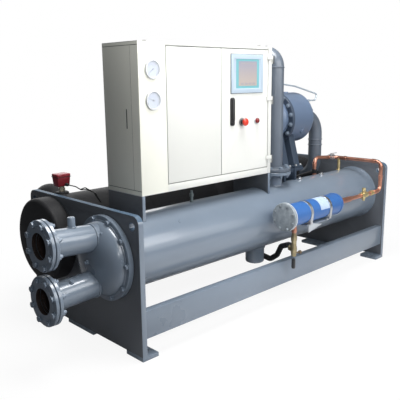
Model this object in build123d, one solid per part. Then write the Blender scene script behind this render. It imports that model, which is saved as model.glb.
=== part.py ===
from build123d import *
import math
import os

# Water-cooled screw chiller, millimetres, +X along the shells, +Y to the back, +Z up.
# The origin lies on the floor at the centre of the four corner anchor holes.

os.makedirs("parts", exist_ok=True)

# Overall frame
unit_length = 2400.0
unit_width = 1060.0
plate_height = 750.0
plate_thick = 30.0
plate_corner_radius = 45.0
lift_hole_dia = 44.0
lift_hole_from_edge = 54.0
lift_hole_below_top = 56.0

# Feet and anchors
foot_length = 102.0
foot_thick = 22.0
corner_foot_width = 137.0
middle_foot_start = 446.0
middle_foot_width = 257.0
anchor_hole_dia = 18.0
anchor_from_end = 66.0

# Rails between the end plates
rail_recess = 11.0
rail_bottom = 110.0
rail_height = 147.0
rail_depth = 45.0
rail_web = 6.0

# Condenser, the front shell
condenser_from_front = 271.0
condenser_height = 495.0
condenser_radius = 195.5
box_ring_radius = 225.0
box_ring_thick = 30.0
box_bolt_circle_dia = 416.0
box_bolt_count = 10
box_bolt_hole_dia = 18.0
head_radius = 197.0
head_depth = 92.0
head_wall = 10.0
return_head_depth = 46.0

# Condenser water pipes and their flanges
water_pipe_od = 139.7
water_pipe_wall = 4.5
water_flange_od = 250.0
water_flange_thick = 18.0
water_bolt_circle_dia = 210.0
water_bolt_count = 8
water_bolt_hole_dia = 18.0
water_flange_reach = 378.0
water_flange_offset = 137.0
water_pipe_root_offset = 116.0
gasket_thick = 4.0
gasket_od = 188.0
vent_stub_od = 38.0
vent_stub_height = 50.0
vent_stub_from_plate = 200.0

# Evaporator, the rear shell in its insulation
evaporator_from_front = 810.0
evaporator_height = 497.0
evaporator_radius = 240.0
evaporator_head_reach = 100.0
evaporator_head_round = 18.0

# Chilled water pipes: a return bend out of the evaporator's top, down to a flange behind it
chilled_pipe_from_end = 160.0
chilled_insulation_od = 176.0
chilled_crest_above_axis = 171.0
chilled_bend_radius = 94.0
chilled_return = 190.0
chilled_pipe_behind_axis = 190.0
chilled_flange_below_axis = 97.0
chilled_bore = 131.0
chilled_bore_depth = 120.0

# Flow switch on the evaporator's crown
switch_neck_od = 30.0
switch_neck_height = 43.0
switch_box_length = 92.0
switch_box_width = 72.0
switch_box_height = 76.0
switch_box_taper = 6.0
switch_box_round = 10.0
switch_from_end = 100.0
switch_behind_axis = 48.0

# Electrical cabinet on two saddles
cabinet_from_left = 164.0
cabinet_from_front = 173.0
cabinet_bottom = 801.0
cabinet_length = 1036.0
cabinet_depth = 300.0
cabinet_height = 777.0
sheet = 3.0
saddle_thick = 20.0
saddle_foot_height = 645.0
door_seam = 5.0
door_thick = 20.0
opening_from_left = 178.0
opening_from_right = 30.0
opening_from_bottom = 39.0
opening_from_top = 18.0
cover_length = 403.0
lug_from_end = 80.0
lug_half = 20.0
post_width = 30.0
mount_plate_gap = 40.0

# Door hinges and furniture
hinge_out = 7.0
hinge_barrel_radius = 7.0
hinge_pin_dia = 8.0
hinge_pin_clearance = 0.05
hinge_leaf_thick = 3.0
hinge_half_height = 24.0
hinge_gap = 0.3
hinge_from_bottom = 89.0
hinge_from_top = 78.0
hinge_middle_share = 0.6
hinge_reach = 14.0
display_width = 280.0
display_height = 221.0
display_proud = 7.0
display_from_left = 667.0
display_from_bottom = 505.0
display_rim = 38.0
display_sill = 30.0
display_recess = 3.0
handle_width = 33.0
handle_height = 161.0
handle_proud = 16.0
handle_from_left = 661.0
handle_from_bottom = 320.0
stop_button_dia = 46.0
lamp_dia = 40.0
button_height = 338.0
stop_button_from_left = 762.0
lamp_from_left = 895.0
gauge_dia = 98.0
gauge_proud = 11.0
gauge_from_left = 89.0
gauge_heights = (639.0, 485.0)

# Screw compressor behind the discharge pipe
compressor_from_front = 500.0
compressor_height = 1106.0
motor_from_left = 1615.0
motor_length = 275.0
motor_radius = 180.0
motor_flange_radius = 189.0
motor_flange_thick = 26.0
motor_end_round = 22.0
motor_cover_radius = 150.0
motor_cover_thick = 24.0
rotor_radius = 150.0
rotor_length = 345.0
outlet_cover_radius = 128.0
outlet_cover_length = 36.0
beam_top = 770.0
beam_thick = 20.0
beam_length = 100.0
beam_half_span = 225.0
beam_depth = 137.0
beam_places = (1480.0, 1600.0)
leg_length = 60.0
leg_width = 92.0
leg_top_spread = 92.0
leg_bottom_spread = 160.0
leg_pad_thick = 16.0
leg_pad_margin = 14.0
leg_pad_edge = 6.0
outlet_port_rise = 45.0

# Discharge pipe
discharge_from_left = 1362.0
discharge_od = 108.0
discharge_bend_radius = 80.0
discharge_top = 1538.0
discharge_flange_od = 220.0
discharge_flange_thick = 20.0
discharge_flange_base = 764.0
discharge_gasket = 3.0

# Suction pipe
suction_from_left = 2158.0
suction_od = 101.6
suction_bend_radius = 152.4
suction_flange_od = 215.0
suction_flange_thick = 22.0
suction_slope = 60.0
suction_end_offset = 40.0
suction_entry_bend = 152.4

# Liquid line
sump_from_left = 1171.0
sump_radius = 62.0
sump_bottom = 195.0
liquid_od = 28.0
insulated_od = 36.0
drier_from_front = -40.0
drier_height = 565.0
drier_radius = 70.0
drier_start = 1096.0
drier_end = 1641.0
drier_cap_radius = 88.0
drier_cap_thick = 25.0
strap_places = (1270.0, 1476.0)
strap_width = 24.0
strap_thick = 3.0
bracket_overhang = 45.0
bracket_thick = 8.0
drier_end_round = 26.0
drier_cap_round = 6.0
angle_valve_from_left = 1180.0
angle_valve_radius = 19.0
angle_valve_top = 445.0
angle_valve_bottom = 300.0
angle_stem_bottom = 217.0
liquid_turn_from_left = 2224.0
liquid_crossing_height = 780.0
liquid_arch_rise = 22.0
liquid_back_from_front = 360.0
liquid_drop_from_left = 1958.0
liquid_drop_below_crossing = 90.0
liquid_entry_slope = 60.0
liquid_entry_reach = 115.0
liquid_bend = 42.0
liquid_entry_bend = 24.0
stop_valve_from_left = 1996.0
stop_valve_half = 22.0
stop_valve_height = 92.0
stop_stem_below = 40.0
stop_stem_radius = 13.0
line_valve_from_left = 2180.0
line_valve_half = 19.0
line_valve_rise = 30.0
riser_od = 22.0
riser_length = 150.0
relief_from_left = 602.0
relief_height = 75.0
relief_radius = 11.0
angle_stem_radius = 13.0

# Insulated tube from the sump: distance from the left, from the front and height
insulated_bend = 22.0
insulated_route = ((1236.0, 190.0, 214.0), (1256.0, 150.0, 246.0),
                   (1240.0, 105.0, 318.0), (1236.0, 40.0, 344.0))
insulated_start_height = 236.0
insulated_end_height = 345.0

# Equalizing tube from the rotor housing over the motor: x past the outlet port, height over the axis
equalizing_od = 10.0
equalizing_bend = 14.0
equalizing_from_axis = 60.0
equalizing_end_from_axis = 95.0
equalizing_start = 130.0
equalizing_foot = 100.0
equalizing_rise = 256.0
equalizing_mid_before_end = 90.0
equalizing_mid = 225.0
equalizing_reach = 110.0
equalizing_low = 165.0
equalizing_return = 20.0
equalizing_port = 120.0

# Working values
x_left = -unit_length / 2
x_right = unit_length / 2
y_front = -unit_width / 2
y_back = unit_width / 2
x_in_left = x_left + plate_thick
x_in_right = x_right - plate_thick


def at(from_left, from_front, height):
    """A point measured from the left plate's outer face, the plates' front edge and the floor."""
    return Vector(x_left + from_left, y_front + from_front, height)


def block(x0, x1, y0, y1, z0, z1):
    """A box between two corners."""
    return Pos((x0 + x1) / 2, (y0 + y1) / 2, (z0 + z1) / 2) * Box(x1 - x0, y1 - y0, z1 - z0)


def rod(start, direction, length, radius):
    """A round bar from a point along a direction."""
    plane = Plane(origin=start, z_dir=direction)
    return extrude(plane * Circle(radius), length)


def ring(start, direction, length, radius, bore_radius):
    """A round bar with a bore."""
    plane = Plane(origin=start, z_dir=direction)
    return extrude(plane * (Circle(radius) - Circle(bore_radius)), length)


def flange(start, direction, thick, od, bore, bolt_circle, count, hole, turn):
    """A flat flange: disc, bore and bolt holes on a circle."""
    face = Circle(od / 2) - Circle(bore / 2)
    face -= PolarLocations(bolt_circle / 2, count, start_angle=turn) * Circle(hole / 2)
    across = (0, 0, 1) if abs(direction[2]) < 0.5 else (1, 0, 0)
    plane = Plane(origin=start, x_dir=across, z_dir=direction)
    return extrude(plane * face, thick)


def pipe_run(points, radius, outside):
    """A round pipe along straight runs joined by bends."""
    path = FilletPolyline(*points, radius=radius)
    section = Plane(origin=path @ 0, z_dir=path % 0) * Circle(outside / 2)
    return sweep(section, path)


def save(name, *solids):
    """Write one named piece."""
    shape = Compound(children=list(solids)) if len(solids) > 1 else solids[0]
    shape.label = name
    export_step(shape, f"parts/{name}.step")


# Shells that other pieces are fitted to
condenser_axis = at(0, condenser_from_front, condenser_height)
evaporator_axis = at(0, evaporator_from_front, evaporator_height)
inner_length = unit_length - 2 * plate_thick


def condenser_body():
    """The condenser's outside, between the end plates."""
    return rod(condenser_axis + (plate_thick, 0, 0), (1, 0, 0), inner_length, condenser_radius)


def evaporator_body():
    """The insulated evaporator's outside, between the end plates."""
    return rod(evaporator_axis + (plate_thick, 0, 0), (1, 0, 0), inner_length, evaporator_radius)


def end_plate(x_outer, inward):
    """An end plate standing on its feet, with rounded top corners and two lifting holes."""
    tall = plate_height - foot_thick
    outline = Rectangle(unit_width, tall)
    outline = fillet(outline.vertices().group_by(Axis.Y)[-1], plate_corner_radius)
    hole_y = unit_width / 2 - lift_hole_from_edge
    hole_z = tall / 2 - lift_hole_below_top
    outline -= Locations((-hole_y, hole_z), (hole_y, hole_z)) * Circle(lift_hole_dia / 2)
    plane = Plane(origin=(x_outer, 0, foot_thick + tall / 2), x_dir=(0, inward, 0), z_dir=(inward, 0, 0))
    return extrude(plane * outline, plate_thick)


def feet(x_outer, inward):
    """Three foot pads under one end plate, each with an anchor hole."""
    pads = []
    spans = ((0, corner_foot_width), (middle_foot_start, middle_foot_width),
             (unit_width - corner_foot_width, corner_foot_width))
    x_far = x_outer + inward * foot_length
    for start, width in spans:
        y_start = y_front + start
        pad = block(min(x_outer, x_far), max(x_outer, x_far), y_start, y_start + width, 0, foot_thick)
        centre = (x_outer + inward * anchor_from_end, y_front + start + width / 2, 0)
        pads.append(pad - rod(centre, (0, 0, 1), foot_thick, anchor_hole_dia / 2))
    return pads


def rail(y_face, inward):
    """A channel with its web outwards, between the end plates."""
    top = rail_bottom + rail_height
    y_toe = y_face + inward * rail_depth
    outer = block(x_in_left, x_in_right, min(y_face, y_toe), max(y_face, y_toe), rail_bottom, top)
    y_web = y_face + inward * rail_web
    y_open = y_toe + inward
    hollow = block(x_in_left, x_in_right, min(y_web, y_open), max(y_web, y_open),
                   rail_bottom + rail_web, top - rail_web)
    return outer - hollow


save("end_plate_left", end_plate(x_left, 1))
save("end_plate_right", end_plate(x_right, -1))
save("feet_left", *feet(x_left, 1))
save("feet_right", *feet(x_right, -1))
save("rail_front", rail(y_front + rail_recess, 1))
save("rail_back", rail(y_back - rail_recess, -1))

# Condenser shell with its inlet stub and flange, and the liquid sump below
inlet_base = at(discharge_from_left, condenser_from_front, condenser_height)
stub_length = discharge_flange_base - condenser_height
stub = rod(inlet_base, (0, 0, 1), stub_length, discharge_od / 2)
inlet_flange = rod(at(discharge_from_left, condenser_from_front, discharge_flange_base), (0, 0, 1),
                   discharge_flange_thick, discharge_flange_od / 2)
save("condenser_shell", condenser_body() + stub + inlet_flange)
sump_top = at(sump_from_left, condenser_from_front, sump_bottom)
sump = rod(sump_top, (0, 0, 1), condenser_height - sump_bottom, sump_radius)
sump = sump - condenser_body()
sump = fillet(sump.faces().sort_by(Axis.Z)[0].edges(), 14)
save("condenser_sump", sump)


def head_form(x_base, outward, depth):
    """The space inside a dished head's outer face: a flattened half sphere."""
    section = Ellipse(depth, head_radius) & Pos(depth / 2, head_radius / 2) * Rectangle(depth, head_radius)
    centre = (x_base, condenser_axis.Y, condenser_axis.Z)
    plane = Plane(origin=centre, x_dir=(outward, 0, 0), z_dir=(0, -outward, 0))
    return revolve(plane * section, Axis(centre, (1, 0, 0)))


def water_box_shell(x_plate, outward, depth):
    """A bolted ring and the dished head welded into it, hollow inside."""
    section = Ellipse(depth, head_radius) - Ellipse(depth - head_wall, head_radius - head_wall)
    section &= Pos(depth / 2, head_radius / 2) * Rectangle(depth, head_radius)
    rim = box_ring_radius - head_radius + head_wall
    section = Pos(box_ring_thick, 0) * section
    section += Pos(box_ring_thick / 2, box_ring_radius - rim / 2) * Rectangle(box_ring_thick, rim)
    centre = (x_plate, condenser_axis.Y, condenser_axis.Z)
    plane = Plane(origin=centre, x_dir=(outward, 0, 0), z_dir=(0, -outward, 0))
    shell = revolve(plane * section, Axis(centre, (1, 0, 0)))
    face = Plane(origin=centre, x_dir=(0, 1, 0), z_dir=(outward, 0, 0))
    holes = Sketch() + PolarLocations(box_bolt_circle_dia / 2, box_bolt_count) * Circle(box_bolt_hole_dia / 2)
    return shell - extrude(face * holes, box_ring_thick)


def water_path(side):
    """Axis of a water pipe: splayed from the head, side +1 upper and -1 lower."""
    start_z = condenser_height + side * water_pipe_root_offset
    end_z = condenser_height + side * water_flange_offset
    start = Vector(x_left - box_ring_thick, condenser_axis.Y, start_z)
    end = Vector(x_left - water_flange_reach, condenser_axis.Y, end_z)
    return start, end


x_ring_face = x_left - box_ring_thick
half_step = 180.0 / water_bolt_count
left_head = head_form(x_ring_face, -1, head_depth)
water_box = water_box_shell(x_left, -1, head_depth)
counters = []
gaskets = []
for name, side in (("upper", 1), ("lower", -1)):
    start, end = water_path(side)
    run = end - start
    flange_bore = water_pipe_od - 2 * water_pipe_wall
    outer = rod(start, run, run.length, water_pipe_od / 2)
    bore = rod(start, run, run.length + water_flange_thick, flange_bore / 2)
    weld_face_x = end.X + water_flange_thick + gasket_thick
    outer = outer - block(end.X - water_flange_thick, weld_face_x, y_front, y_back, 0, unit_width)
    weld_flange = flange((weld_face_x, end.Y, end.Z), (1, 0, 0), water_flange_thick, water_flange_od,
                         water_pipe_od / 2, water_bolt_circle_dia, water_bolt_count, water_bolt_hole_dia,
                         half_step)
    water_box = water_box - outer
    pipe = outer + weld_flange
    if side > 0:
        foot = start + run * ((vent_stub_from_plate - box_ring_thick) / run.length)
        pipe += rod(foot, (0, 0, 1), water_pipe_od / 2 + vent_stub_height, vent_stub_od / 2)
    inside = left_head + block(x_ring_face, x_left, y_front, y_back, 0, unit_width)
    save(f"water_pipe_{name}", pipe - bore - inside)
    counters.append(flange((end.X, end.Y, end.Z), (1, 0, 0), water_flange_thick, water_flange_od, flange_bore,
                           water_bolt_circle_dia, water_bolt_count, water_bolt_hole_dia, half_step))
    gaskets.append(ring((end.X + water_flange_thick, end.Y, end.Z), (1, 0, 0), gasket_thick,
                        gasket_od / 2, water_pipe_od / 2))
save("counter_flanges", *counters)
save("water_box_left", water_box)
save("water_box_right", water_box_shell(x_right, 1, return_head_depth))

# Evaporator: insulated shell between the plates and insulated heads outside them
save("evaporator_shell", evaporator_body())
heads = []
for x_plate, outward in ((x_left, -1), (x_right, 1)):
    head = rod((x_plate, evaporator_axis.Y, evaporator_axis.Z), (outward, 0, 0), evaporator_head_reach,
               evaporator_radius)
    rim = head.faces().sort_by(Axis.X)[0 if outward < 0 else -1].edges()
    heads.append(fillet(rim, evaporator_head_round))
save("evaporator_heads", *heads)

# Chilled water pipes: up from the evaporator, over and down to flanges that face the floor
chilled_flanges = []
for name, from_left in (("left", chilled_pipe_from_end), ("right", unit_length - chilled_pipe_from_end)):
    root = at(from_left, evaporator_from_front + chilled_pipe_behind_axis, evaporator_height)
    rise = root + (0, 0, chilled_crest_above_axis)
    over = rise + (0, chilled_return, 0)
    face = root + (0, chilled_return, -chilled_flange_below_axis)
    seat = face + (0, 0, water_flange_thick)
    pipe = pipe_run([root, rise, over, seat], chilled_bend_radius, chilled_insulation_od)
    chilled_flanges.append(flange(seat, (0, 0, -1), water_flange_thick, water_flange_od, chilled_bore,
                                  water_bolt_circle_dia, water_bolt_count, water_bolt_hole_dia, half_step))
    bore = rod(seat, (0, 0, 1), chilled_bore_depth, chilled_bore / 2)
    save(f"chilled_pipe_{name}", pipe - evaporator_body() - bore)
save("chilled_flanges", *chilled_flanges)

# Flow switch: a short neck out of the evaporator's crown and a tapered cap
switch_foot = at(switch_from_end, evaporator_from_front + switch_behind_axis, evaporator_height)
cap_base = evaporator_radius + switch_neck_height
neck = rod(switch_foot, (0, 0, 1), cap_base, switch_neck_od / 2)
cap_low = Plane(switch_foot + (0, 0, cap_base)) * RectangleRounded(
    switch_box_length - 2 * switch_box_taper, switch_box_width - 2 * switch_box_taper, switch_box_round)
cap_high = Plane(switch_foot + (0, 0, cap_base + switch_box_height)) * RectangleRounded(
    switch_box_length, switch_box_width, switch_box_round)
save("flow_switch", (neck - evaporator_body()) + loft([cap_low, cap_high]))

# Cabinet saddles: plates cut to the condenser, flush with the cabinet's front
cabinet_x0 = x_left + cabinet_from_left
cabinet_x1 = cabinet_x0 + cabinet_length
cabinet_y0 = y_front + cabinet_from_front
cabinet_y1 = cabinet_y0 + cabinet_depth
cabinet_top = cabinet_bottom + cabinet_height
saddles = []
for x0 in (cabinet_x0, cabinet_x1 - saddle_thick):
    plate = block(x0, x0 + saddle_thick, cabinet_y0, cabinet_y1, saddle_foot_height, cabinet_bottom)
    saddles.append(plate - condenser_body())
save("cabinet_saddles", *saddles)

# Cabinet walls
z_floor = cabinet_bottom + sheet
z_roof = cabinet_top - sheet
save("cabinet_base", block(cabinet_x0, cabinet_x1, cabinet_y0, cabinet_y1, cabinet_bottom, z_floor))
save("cabinet_top", block(cabinet_x0, cabinet_x1, cabinet_y0, cabinet_y1, z_roof, cabinet_top))
save("cabinet_back", block(cabinet_x0, cabinet_x1, cabinet_y1 - sheet, cabinet_y1, z_floor, z_roof))
side_left = block(cabinet_x0, cabinet_x0 + sheet, cabinet_y0, cabinet_y1 - sheet, z_floor, z_roof)
opening_x0 = cabinet_x0 + opening_from_left
opening_x1 = cabinet_x1 - opening_from_right
opening_z0 = cabinet_bottom + opening_from_bottom
opening_z1 = cabinet_top - opening_from_top
gauge_panel = block(cabinet_x0 + sheet, opening_x0, cabinet_y0, cabinet_y0 + sheet, z_floor, z_roof)
gauge_panel += block(opening_x0 - sheet, opening_x0, cabinet_y0 + sheet, cabinet_y0 + door_thick * 2,
                     z_floor, z_roof)
save("cabinet_side_left", side_left + gauge_panel)
strips = [block(opening_x0, opening_x1, cabinet_y0, cabinet_y0 + sheet, z_floor, opening_z0),
          block(opening_x0, opening_x1, cabinet_y0, cabinet_y0 + sheet, opening_z1, z_roof)]

# Hinge places and the fixed halves on the right-hand wall
hinge_low = cabinet_bottom + hinge_from_bottom
hinge_high = cabinet_top - hinge_from_top
hinge_heights = (hinge_low, hinge_low + (hinge_high - hinge_low) * hinge_middle_share, hinge_high)
hinge_axis_x = cabinet_x1 + hinge_out
hinge_axis_y = cabinet_y0 - hinge_out
side_right = block(cabinet_x1 - sheet, cabinet_x1, cabinet_y0, cabinet_y1 - sheet, z_floor, z_roof)
side_right += block(opening_x1, cabinet_x1 - sheet, cabinet_y0, cabinet_y0 + sheet, z_floor, z_roof)
for height in hinge_heights:
    low = (hinge_axis_x, hinge_axis_y, height - hinge_half_height)
    barrel = rod(low, (0, 0, 1), hinge_half_height, hinge_barrel_radius)
    leaf = block(cabinet_x1, hinge_axis_x, hinge_axis_y, cabinet_y0 + hinge_reach,
                 height - hinge_half_height, height)
    pin = rod(low, (0, 0, 1), 2 * hinge_half_height, hinge_pin_dia / 2)
    side_right += leaf + barrel + pin
save("cabinet_side_right", side_right)

# Middle post, stepped so that the door closes clear of it
post_x = opening_x0 + door_seam + cover_length + door_seam / 2
post_y = cabinet_y0 + door_thick
post = block(post_x - post_width / 2, post_x + post_width / 2, post_y + door_seam, post_y + post_width,
             z_floor, z_roof)
post += block(post_x - post_width / 2, post_x - door_seam, post_y, post_y + door_seam, z_floor, z_roof)
save("cabinet_frame", post, *strips)


def pan(x0, x1, z0, z1):
    """A folded sheet pan, open at the back."""
    outer = block(x0, x1, cabinet_y0, cabinet_y0 + door_thick, z0, z1)
    hollow = block(x0 + sheet, x1 - sheet, cabinet_y0 + sheet, cabinet_y0 + door_thick + 1,
                   z0 + sheet, z1 - sheet)
    return outer - hollow


pan_z0 = opening_z0 + door_seam
pan_z1 = opening_z1 - door_seam
cover_x0 = opening_x0 + door_seam
cover_x1 = cover_x0 + cover_length
cover = pan(cover_x0, cover_x1, pan_z0, pan_z1)
for height in (pan_z0 + lug_from_end, pan_z1 - lug_from_end):
    cover += block(opening_x0, cover_x0, cabinet_y0 + door_thick / 2, cabinet_y0 + door_thick,
                   height - lug_half, height + lug_half)
save("cover_panel", cover)

door_x0 = cover_x1 + door_seam
door_x1 = opening_x1 - door_seam
door = pan(door_x0, door_x1, pan_z0, pan_z1)
for height in hinge_heights:
    leaf_z0 = height + hinge_gap
    leaf_z1 = height + hinge_half_height
    arm = block(door_x1 - hinge_reach, hinge_axis_x, hinge_axis_y - hinge_leaf_thick / 2,
                hinge_axis_y + hinge_leaf_thick / 2, leaf_z0, leaf_z1)
    spacer = block(door_x1 - hinge_reach, door_x1 - 4, hinge_axis_y, cabinet_y0, leaf_z0, leaf_z1)
    barrel = rod((hinge_axis_x, hinge_axis_y, leaf_z0), (0, 0, 1), hinge_half_height - hinge_gap,
                 hinge_barrel_radius)
    hole = rod((hinge_axis_x, hinge_axis_y, leaf_z0), (0, 0, 1), hinge_half_height,
               hinge_pin_dia / 2 + hinge_pin_clearance)
    door += arm + spacer + barrel - hole
save("door", door)

# Door furniture
display_x0 = cabinet_x0 + display_from_left
display_z0 = cabinet_bottom + display_from_bottom
display = block(display_x0, display_x0 + display_width, cabinet_y0 - display_proud, cabinet_y0,
                display_z0, display_z0 + display_height)
display -= block(display_x0 + display_rim, display_x0 + display_width - display_rim,
                 cabinet_y0 - display_proud - 1, cabinet_y0 - display_proud + display_recess,
                 display_z0 + display_sill, display_z0 + display_height - display_sill)
save("display", display)
handle_x0 = cabinet_x0 + handle_from_left
handle_z0 = cabinet_bottom + handle_from_bottom
handle = block(handle_x0, handle_x0 + handle_width, cabinet_y0 - handle_proud, cabinet_y0,
               handle_z0, handle_z0 + handle_height)
save("door_handle", fillet(handle.edges().filter_by(Axis.Y), 9))
button_z = cabinet_bottom + button_height
stop_button = rod((cabinet_x0 + stop_button_from_left, cabinet_y0, button_z), (0, -1, 0), 26, 14) + rod(
    (cabinet_x0 + stop_button_from_left, cabinet_y0 - 26, button_z), (0, -1, 0), 14, stop_button_dia / 2)
lamp = rod((cabinet_x0 + lamp_from_left, cabinet_y0, button_z), (0, -1, 0), 18, lamp_dia / 2)
save("stop_button", stop_button)
save("signal_lamp", lamp)
gauges = [rod((cabinet_x0 + gauge_from_left, cabinet_y0, cabinet_bottom + height), (0, -1, 0), gauge_proud,
              gauge_dia / 2) for height in gauge_heights]
save("pressure_gauges", *gauges)

# Mounting plate inside the cabinet, on four spacers
plate_y = cabinet_y1 - sheet - mount_plate_gap
mounting_plate = block(cabinet_x0 + 40, cabinet_x1 - 40, plate_y, plate_y + sheet, z_floor + 40, z_roof - 40)
for x in (cabinet_x0 + 80, cabinet_x1 - 80):
    for z in (z_floor + 80, z_roof - 80):
        mounting_plate += rod((x, plate_y + sheet, z), (0, 1, 0), mount_plate_gap - sheet, 8)
save("mounting_plate", mounting_plate)

# Compressor: outlet cover, rotor housing and motor in line, on two beams across the shells
compressor_y = y_front + compressor_from_front
motor_x0 = x_left + motor_from_left
motor_x1 = motor_x0 + motor_length
rotor_x0 = motor_x0 - rotor_length
motor = rod((motor_x0, compressor_y, compressor_height), (1, 0, 0), motor_length, motor_radius)
motor = fillet(motor.faces().sort_by(Axis.X)[-1].edges(), motor_end_round)
motor += rod((motor_x0, compressor_y, compressor_height), (1, 0, 0), motor_flange_thick, motor_flange_radius)
motor += rod((motor_x1, compressor_y, compressor_height), (1, 0, 0), motor_cover_thick, motor_cover_radius)
save("compressor_motor", motor)
port_base = Vector(x_left + discharge_from_left, compressor_y, compressor_height)
port_height = rotor_radius + outlet_port_rise
port = rod(port_base, (0, 0, 1), port_height - discharge_flange_thick, discharge_od / 2) + rod(
    port_base + (0, 0, port_height - discharge_flange_thick), (0, 0, 1), discharge_flange_thick,
    discharge_flange_od / 2)
rotor = rod((rotor_x0, compressor_y, compressor_height), (1, 0, 0), rotor_length, rotor_radius)
outlet_cover = rod((rotor_x0, compressor_y, compressor_height), (-1, 0, 0), outlet_cover_length,
                   outlet_cover_radius)
save("compressor_rotor_housing", rotor + port + outlet_cover)

beams = []
legs = []
for place in beam_places:
    x = x_left + place
    beam = block(x, x + beam_length, compressor_y - beam_half_span, compressor_y + beam_half_span,
                 beam_top - beam_depth, beam_top)
    hollow = block(x + beam_thick, x + beam_length + 1, compressor_y - beam_half_span - 1,
                   compressor_y + beam_half_span + 1, beam_top - beam_depth - 1, beam_top - beam_thick)
    beams.append(beam - hollow - condenser_body() - evaporator_body())
    for side in (-1, 1):
        pad_top = beam_top + leg_pad_thick
        leg_top = compressor_height - rotor_radius / 2
        reach = leg_width / 2 + leg_pad_margin
        y_foot = compressor_y + side * leg_bottom_spread
        pad = block(x + leg_pad_edge, x + beam_length - leg_pad_edge, y_foot - reach, y_foot + reach,
                    beam_top, pad_top)
        outline = [(side * leg_bottom_spread - leg_width / 2, beam_top),
                   (side * leg_bottom_spread + leg_width / 2, beam_top),
                   (side * leg_bottom_spread + leg_width / 2, pad_top),
                   (side * leg_top_spread + leg_width / 2, leg_top),
                   (side * leg_top_spread - leg_width / 2, leg_top),
                   (side * leg_bottom_spread - leg_width / 2, pad_top)]
        middle = x + beam_length / 2
        face = Plane(origin=(middle - leg_length / 2, compressor_y, 0), x_dir=(0, 1, 0),
                     z_dir=(1, 0, 0)) * Polygon(*outline, align=None)
        legs.append(pad + extrude(face, leg_length))
save("compressor_beams", *beams)
housing = rotor + motor
save("compressor_feet", *[leg - housing for leg in legs])

# Discharge pipe: up from the compressor, forward and down to the condenser inlet
pipe_base = discharge_flange_base + discharge_flange_thick + discharge_gasket
front_low = at(discharge_from_left, condenser_from_front, pipe_base)
front_top = at(discharge_from_left, condenser_from_front, discharge_top)
rear_top = Vector(front_top.X, compressor_y, discharge_top)
rear_low = Vector(front_top.X, compressor_y, compressor_height + port_height)
discharge = pipe_run([front_low, front_top, rear_top, rear_low], discharge_bend_radius, discharge_od)
discharge += rod(front_low, (0, 0, 1), discharge_flange_thick, discharge_flange_od / 2)
discharge += rod(rear_low, (0, 0, 1), discharge_flange_thick, discharge_flange_od / 2)
save("discharge_pipe", discharge)
gaskets.append(ring(front_low - (0, 0, discharge_gasket), (0, 0, 1), discharge_gasket,
                    discharge_od / 2 + 25, discharge_od / 2))
save("gaskets", *gaskets)

# Suction pipe: from the motor cover, down and back into the evaporator's shoulder
cover_face = Vector(motor_x1 + motor_cover_thick, compressor_y, compressor_height)
suction_x = x_left + suction_from_left
meet = evaporator_height + (evaporator_axis.Y - compressor_y) / math.tan(math.radians(suction_slope))
suction_end = evaporator_height + suction_end_offset / math.tan(math.radians(suction_slope))
suction = pipe_run([cover_face, (suction_x, compressor_y, compressor_height), (suction_x, compressor_y, meet),
                    (suction_x, evaporator_axis.Y - suction_end_offset, suction_end)],
                   [suction_bend_radius, suction_entry_bend], suction_od)
suction += rod(cover_face, (1, 0, 0), suction_flange_thick, suction_flange_od / 2)
save("suction_pipe", suction - evaporator_body())

# Drier: shell, end cap, straps and bracket in front of the condenser
drier_y = y_front + drier_from_front
drier_x0 = x_left + drier_start
drier_x1 = x_left + drier_end
drier = rod((drier_x0, drier_y, drier_height), (1, 0, 0), drier_end - drier_start, drier_radius)
drier = fillet(drier.faces().sort_by(Axis.X)[-1].edges(), drier_end_round)
save("drier_shell", drier)
cap = rod((drier_x0, drier_y, drier_height), (-1, 0, 0), drier_cap_thick, drier_cap_radius)
save("drier_cap", fillet(cap.faces().sort_by(Axis.X)[0].edges(), drier_cap_round))
straps = []
for place in strap_places:
    x = x_left + place
    straps.append(ring((x - strap_width / 2, drier_y, drier_height), (1, 0, 0), strap_width,
                       drier_radius + strap_thick, drier_radius))
save("drier_straps", *straps)
bracket_top = drier_height - drier_radius - strap_thick
bracket = block(x_left + strap_places[0] - strap_width, x_left + strap_places[1] + strap_width,
                drier_y - bracket_overhang, condenser_axis.Y, bracket_top - bracket_thick, bracket_top)
save("drier_bracket", bracket - condenser_body())

# Angle valve under the drier's inlet
valve_x = x_left + angle_valve_from_left
valve_top = Vector(valve_x, drier_y, angle_valve_top)
inlet = rod(valve_top, (0, 0, 1), drier_height - angle_valve_top, liquid_od / 2)
inlet = inlet - rod((drier_x0, drier_y, drier_height), (1, 0, 0), drier_end - drier_start, drier_radius)
valve = rod((valve_x, drier_y, angle_valve_bottom), (0, 0, 1), angle_valve_top - angle_valve_bottom,
            angle_valve_radius)
stem = rod((valve_x, drier_y, angle_stem_bottom), (0, 0, 1), angle_valve_bottom - angle_stem_bottom,
           angle_stem_radius)

# Insulated tube from the sump to the angle valve
sump_edge = sump_radius * 0.6
tube_points = [at(sump_from_left + sump_edge, condenser_from_front - sump_edge, insulated_start_height)]
tube_points += [at(*place) for place in insulated_route]
tube_points += [Vector(valve_x, drier_y + angle_valve_radius, insulated_end_height)]
tube = pipe_run(tube_points, insulated_bend, insulated_od)
tube -= rod(sump_top, (0, 0, 1), condenser_height - sump_bottom, sump_radius)
tube -= rod((valve_x, drier_y, angle_stem_bottom), (0, 0, 1), drier_height - angle_stem_bottom,
            angle_valve_radius)
save("insulated_line", tube)

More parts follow.
